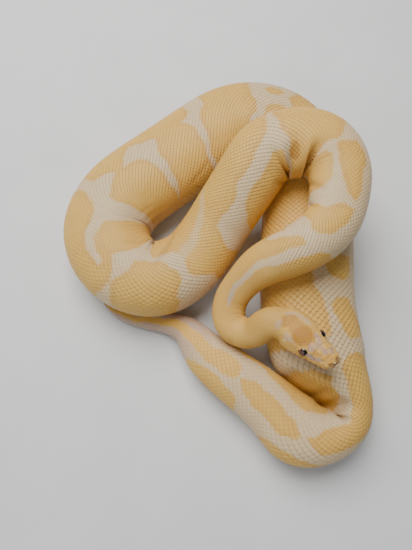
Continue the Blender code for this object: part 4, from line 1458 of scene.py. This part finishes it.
def mix(tree, amount, first, second):
    """Blend from one colour to another by an amount."""
    node = tree.nodes.new("ShaderNodeMix")
    node.data_type = "RGBA"
    tree.links.new(amount, node.inputs["Factor"])
    for socket, colour in ((node.inputs[6], first), (node.inputs[7], second)):
        if isinstance(colour, bpy.types.NodeSocket):
            tree.links.new(colour, socket)
        else:
            socket.default_value = (*colour, 1.0)
    return node.outputs[2]


def remap(tree, value, low, high, to_low, to_high):
    """Stretch a value from one range to another, held at the ends."""
    node = tree.nodes.new("ShaderNodeMapRange")
    for name, number in (("From Min", low), ("From Max", high), ("To Min", to_low),
                         ("To Max", to_high)):
        node.inputs[name].default_value = number
    tree.links.new(value, node.inputs["Value"])
    return node.outputs["Result"]


def mottle(tree, size, detail, used, wanted):
    """Even noise, the used part of its range stretched to the wanted range."""
    return remap(tree, grain(tree, size, detail), *used, *wanted)


def multiply(tree, first, second):
    """Product of two values."""
    node = tree.nodes.new("ShaderNodeMath")
    node.operation = "MULTIPLY"
    for socket, value in zip(node.inputs, (first, second)):
        if isinstance(value, bpy.types.NodeSocket):
            tree.links.new(value, socket)
        else:
            socket.default_value = value
    return node.outputs[0]


def skin_material(name, colours, scaled):
    """Scale horn, or the softer skin between the scales, with the animal's markings and painted
    shade: in creases and folds, and on scales along each plate's rim.
    """
    made, tree, shader = new_material(name)
    shade = mix(tree, mottle(tree, *DULL_MOTTLE), colours.yellow, colours.beige)
    shade = mix(tree, multiply(tree, reading(tree, "rim"), RIM_STRENGTH), shade, colours.rim)
    for paint in ("warm_and_fold_shade", "pale", "sun", "crown", "lilac", "belly"):
        shade = mix(tree, reading(tree, paint), shade, getattr(colours, paint))
    if scaled:
        tone = remap(tree, reading(tree, "tone"), -1.0, 1.0, 0.0, TONE_STRENGTH)
        shade = mix(tree, tone, shade, colours.rim)
        # Painted shade along each plate's rim, in the colour of the skin between the scales.
        between = multiply(tree, reading(tree, "edge"), EDGE_SHADE_STRENGTH)
    else:
        between = mottle(tree, *SOFT_MOTTLE)
    shade = mix(tree, between, shade, colours.between)
    # Painted shade: nostrils, the mouth's line, folds and wrinkles darkened where shade falls.
    shade = mix(tree, reading(tree, "shade"), shade, colours.crease_shade)
    tree.links.new(shade, shader.inputs["Base Color"])
    tree.links.new(mottle(tree, *ROUGH_MOTTLE), shader.inputs["Roughness"])
    relief = tree.nodes.new("ShaderNodeBump")
    relief.inputs["Strength"].default_value = 0.25
    relief.inputs["Distance"].default_value = RELIEF_HEIGHT * MM
    tree.links.new(grain(tree, RELIEF_SIZE, 3.0), relief.inputs["Height"])
    tree.links.new(relief.outputs["Normal"], shader.inputs["Normal"])
    shader.inputs["Subsurface Weight"].default_value = 0.12
    shader.inputs["Subsurface Radius"].default_value = (1.0, 0.5, 0.25)
    shader.inputs["Subsurface Scale"].default_value = 1.5 * MM
    shader.inputs["Specular IOR Level"].default_value = 0.32
    return made


def eye_material(colours):
    """A dark, wet eye: a narrow upright pupil in a brown iris."""
    made, tree, shader = new_material("wet_eye")
    iris = mix(tree, mottle(tree, *IRIS_MOTTLE), colours.iris, colours.iris_light)
    narrow, short = (remap(tree, reading(tree, name), *fade, 1.0, 0.0)
                     for name, fade in zip(("off_slit", "along_slit"), SLIT))
    shade = mix(tree, multiply(tree, narrow, short), iris, colours.pupil)
    rim = remap(tree, reading(tree, "off_axis"), *IRIS_EDGE, 0.0, 1.0)
    shade = mix(tree, rim, shade, colours.pupil)
    tree.links.new(shade, shader.inputs["Base Color"])
    shader.inputs["Roughness"].default_value = 0.16
    shader.inputs["Coat Weight"].default_value = 0.5
    shader.inputs["Coat Roughness"].default_value = 0.03
    return made


def floor_material(colour):
    """A pale matt floor with a faint mottle."""
    made, tree, shader = new_material("pale_floor")
    darker = tuple(FLOOR_DARKER * part for part in colour)
    shade = mix(tree, mottle(tree, *FLOOR_MOTTLE), colour, darker)
    tree.links.new(shade, shader.inputs["Base Color"])
    shader.inputs["Roughness"].default_value = 0.8
    return made


def add_light(name, place, aim, size, power, colour):
    """A square soft light, aimed at a point."""
    data = bpy.data.lights.new(name, "AREA")
    data.size = size
    data.energy = power
    data.color = colour
    light = bpy.data.objects.new(name, data)
    light.location = place
    light.rotation_euler = (Vector(aim) - Vector(place)).to_track_quat("-Z", "Y").to_euler()
    bpy.context.scene.collection.objects.link(light)


def colour_choice(name, description, default):
    """A colour that a user can change."""
    return FloatVectorProperty(name=name, description=description, default=default,
                               subtype="COLOR", min=0.0, max=1.0, size=3)


class PythonColours(bpy.types.PropertyGroup):
    """Colours of the skin, the scales and the eyes."""

    yellow: colour_choice("Yellow", "Blotches on the back", (0.82, 0.475, 0.10))
    beige: colour_choice("Beige", "Duller parts of the blotches", (0.75, 0.41, 0.08))
    pale: colour_choice("Pale", "Ground between the blotches", (0.75, 0.55, 0.32))
    rim: colour_choice("Rim", "Line round a blotch", (0.62, 0.33, 0.09))
    # Partly the skin's own warmer tone, partly painted warm shade and bounce light in folds and
    # inner bends.
    warm_and_fold_shade: colour_choice("Warm", "Folded and inward skin", (0.80, 0.43, 0.085))
    crown: colour_choice("Crown", "Patch on the head", (0.51, 0.215, 0.018))
    sun: colour_choice("Sun", "Snout and lips", (0.74, 0.38, 0.06))
    lilac: colour_choice("Lilac", "Bluish skin of the face and tail", (0.50, 0.33, 0.28))
    belly: colour_choice("Belly", "Scutes and white spots", (0.80, 0.70, 0.56))
    # The skin's own colour between the scales, also used for the painted shade along the scales'
    # rims.
    between: colour_choice("Between scales", "Skin between the scales", (0.56, 0.33, 0.17))
    # Colour of the painted shade in nostrils, the mouth's line and deep folds.
    crease_shade: colour_choice("Crease", "Nostrils, mouth and deep folds", (0.10, 0.035, 0.02))
    iris: colour_choice("Iris", "Dark part of the eye", (0.060, 0.012, 0.008))
    iris_light: colour_choice("Iris light", "Lighter flecks of the eye", (0.20, 0.05, 0.03))
    pupil: colour_choice("Pupil", "Slit and rim of the eye", (0.004, 0.002, 0.002))


class PythonScales(bpy.types.PropertyGroup):
    """Shape of the scales."""

    length_to_width: FloatProperty(name="Length", default=1.85, min=1.0, max=3.0,
                                   description="Length of a scale over the width of its row")
    thickness: FloatProperty(name="Thickness", default=0.20, min=0.02, max=0.6,
                             description="Thickness of a large scale, in millimetres")
    lift: FloatProperty(name="Lift", default=0.28, min=0.0, max=1.0,
                        description="Height of a large scale's free tip, in millimetres")
    gap: FloatProperty(name="Gap", default=0.03, min=0.0, max=0.3, subtype="FACTOR",
                       description="Part of a row's width left clear between scales")


class PythonStage(bpy.types.PropertyGroup):
    """Floor, light and camera."""

    floor: colour_choice("Floor", "Colour of the floor", (0.80, 0.80, 0.80))
    key: FloatProperty(name="Key light", default=16.0, min=0.0, subtype="POWER",
                       description="Power of the soft light overhead")
    fill: FloatProperty(name="Fill light", default=2.6, min=0.0, subtype="POWER",
                        description="Power of the soft light beside the camera")
    sky: FloatProperty(name="Room light", default=0.17, min=0.0,
                       description="Strength of the even light all round")
    lens: FloatProperty(name="Lens", default=29.59, min=10.0, max=200.0,
                        description="Focal length of the camera, in millimetres")


def coloured(name, scaled):
    """The skin's or the scales' material, made once."""
    made = bpy.data.materials.get(name)
    return made or skin_material(name, bpy.context.scene.python_colours, scaled)


class PYTHON_OT_skin(bpy.types.Operator):
    """Make the one skin that stands for every length of flesh"""

    bl_idname = "python.skin"
    bl_label = "Skin"

    def execute(self, context):
        flesh = [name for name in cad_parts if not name.startswith("eye")]
        add_piece(make_skin_mesh(the_skin()), "python_skin", coloured("soft_skin", False), flesh)
        return {"FINISHED"}


class PYTHON_OT_coat(bpy.types.Operator):
    """Lay the scales over the skin, length by length"""

    bl_idname = "python.coat"
    bl_label = "Scales"

    def execute(self, context):
        skin, settings = the_skin(), context.scene.python_scales
        coat = Coat(skin, settings)
        horn = coloured("scale_horn", True)
        for name, start, end, nodes in COAT:
            mesh = make_coat_mesh(skin, coat, settings, name, start, end)
            add_piece(mesh, name, horn, nodes)
        behind_head = [node for row in COAT[1:] for node in row[3]]
        add_piece(make_scutes_mesh(skin, coat, settings), "belly_scutes", horn, behind_head)
        return {"FINISHED"}


class PYTHON_OT_head(bpy.types.Operator):
    """Lay the shields of the snout, crown, lips and eye rings"""

    bl_idname = "python.head"
    bl_label = "Head shields"

    def execute(self, context):
        add_piece(make_shields_mesh(the_skin()), "head_shields", coloured("scale_horn", True),
                  ("head", "lower_jaw"))
        return {"FINISHED"}


class PYTHON_OT_eyes(bpy.types.Operator):
    """Make both eyes"""

    bl_idname = "python.eyes"
    bl_label = "Eyes"

    def execute(self, context):
        material = eye_material(context.scene.python_colours)
        for word, side in (("right", 1), ("left", -1)):
            mesh = make_eye_mesh(the_skin(), word + "_eyeball", side)
            add_piece(mesh, word + "_eyeball", material, ("eye_" + word,))
        return {"FINISHED"}


class PYTHON_OT_stage(bpy.types.Operator):
    """Set out the floor, the light and the camera"""

    bl_idname = "python.stage"
    bl_label = "Stage"

    def execute(self, context):
        stage, scene = context.scene.python_stage, context.scene
        built = bmesh.new()
        bmesh.ops.create_grid(built, x_segments=1, y_segments=1, size=FLOOR_SIZE / 2)
        mesh = finished_mesh(built, "floor")
        mesh.materials.append(floor_material(tuple(stage.floor)))
        floor = bpy.data.objects.new("floor", mesh)
        scene.collection.objects.link(floor)
        add_light("key_light", KEY_PLACE, AIM, KEY_SIZE, stage.key, KEY_COLOUR)
        add_light("fill_light", FILL_PLACE, AIM, FILL_SIZE, stage.fill, ROOM_COLOUR)
        world = bpy.data.worlds.new("room")
        world.use_nodes = True
        background = world.node_tree.nodes["Background"]
        background.inputs["Color"].default_value = (*ROOM_COLOUR, 1.0)
        background.inputs["Strength"].default_value = stage.sky
        scene.world = world
        data = bpy.data.cameras.new("camera")
        data.lens = stage.lens
        camera = bpy.data.objects.new("camera", data)
        camera.location = CAMERA_PLACE
        camera.rotation_euler = CAMERA_TURN
        scene.collection.objects.link(camera)
        scene.camera = camera
        return {"FINISHED"}


class PYTHON_PT_panel(bpy.types.Panel):
    """Settings and steps of the ball python"""

    bl_label = "Ball Python"
    bl_idname = "PYTHON_PT_panel"
    bl_space_type = "VIEW_3D"
    bl_region_type = "UI"
    bl_category = "Python"

    def draw(self, context):
        for group in (context.scene.python_colours, context.scene.python_scales,
                      context.scene.python_stage):
            box = self.layout.box()
            for name in group.__annotations__:
                box.prop(group, name)
        for step in STEPS:
            self.layout.operator("python." + step)


STEPS = ("stage", "skin", "coat", "head", "eyes")
GROUPS = {"python_colours": PythonColours, "python_scales": PythonScales,
          "python_stage": PythonStage}
CLASSES = (PythonColours, PythonScales, PythonStage, PYTHON_OT_stage, PYTHON_OT_skin,
           PYTHON_OT_coat, PYTHON_OT_head, PYTHON_OT_eyes, PYTHON_PT_panel)


def register():
    """Add the classes and their settings to Blender."""
    for each in CLASSES:
        bpy.utils.register_class(each)
    for name, group in GROUPS.items():
        setattr(bpy.types.Scene, name, PointerProperty(type=group))


def unregister():
    """Take them away again."""
    for name in GROUPS:
        delattr(bpy.types.Scene, name)
    for each in reversed(CLASSES):
        bpy.utils.unregister_class(each)


def main():
    """Register the add-on and run every step."""
    register()
    for step in STEPS:
        getattr(bpy.ops.python, step)()


if __name__ == "__main__":
    main()
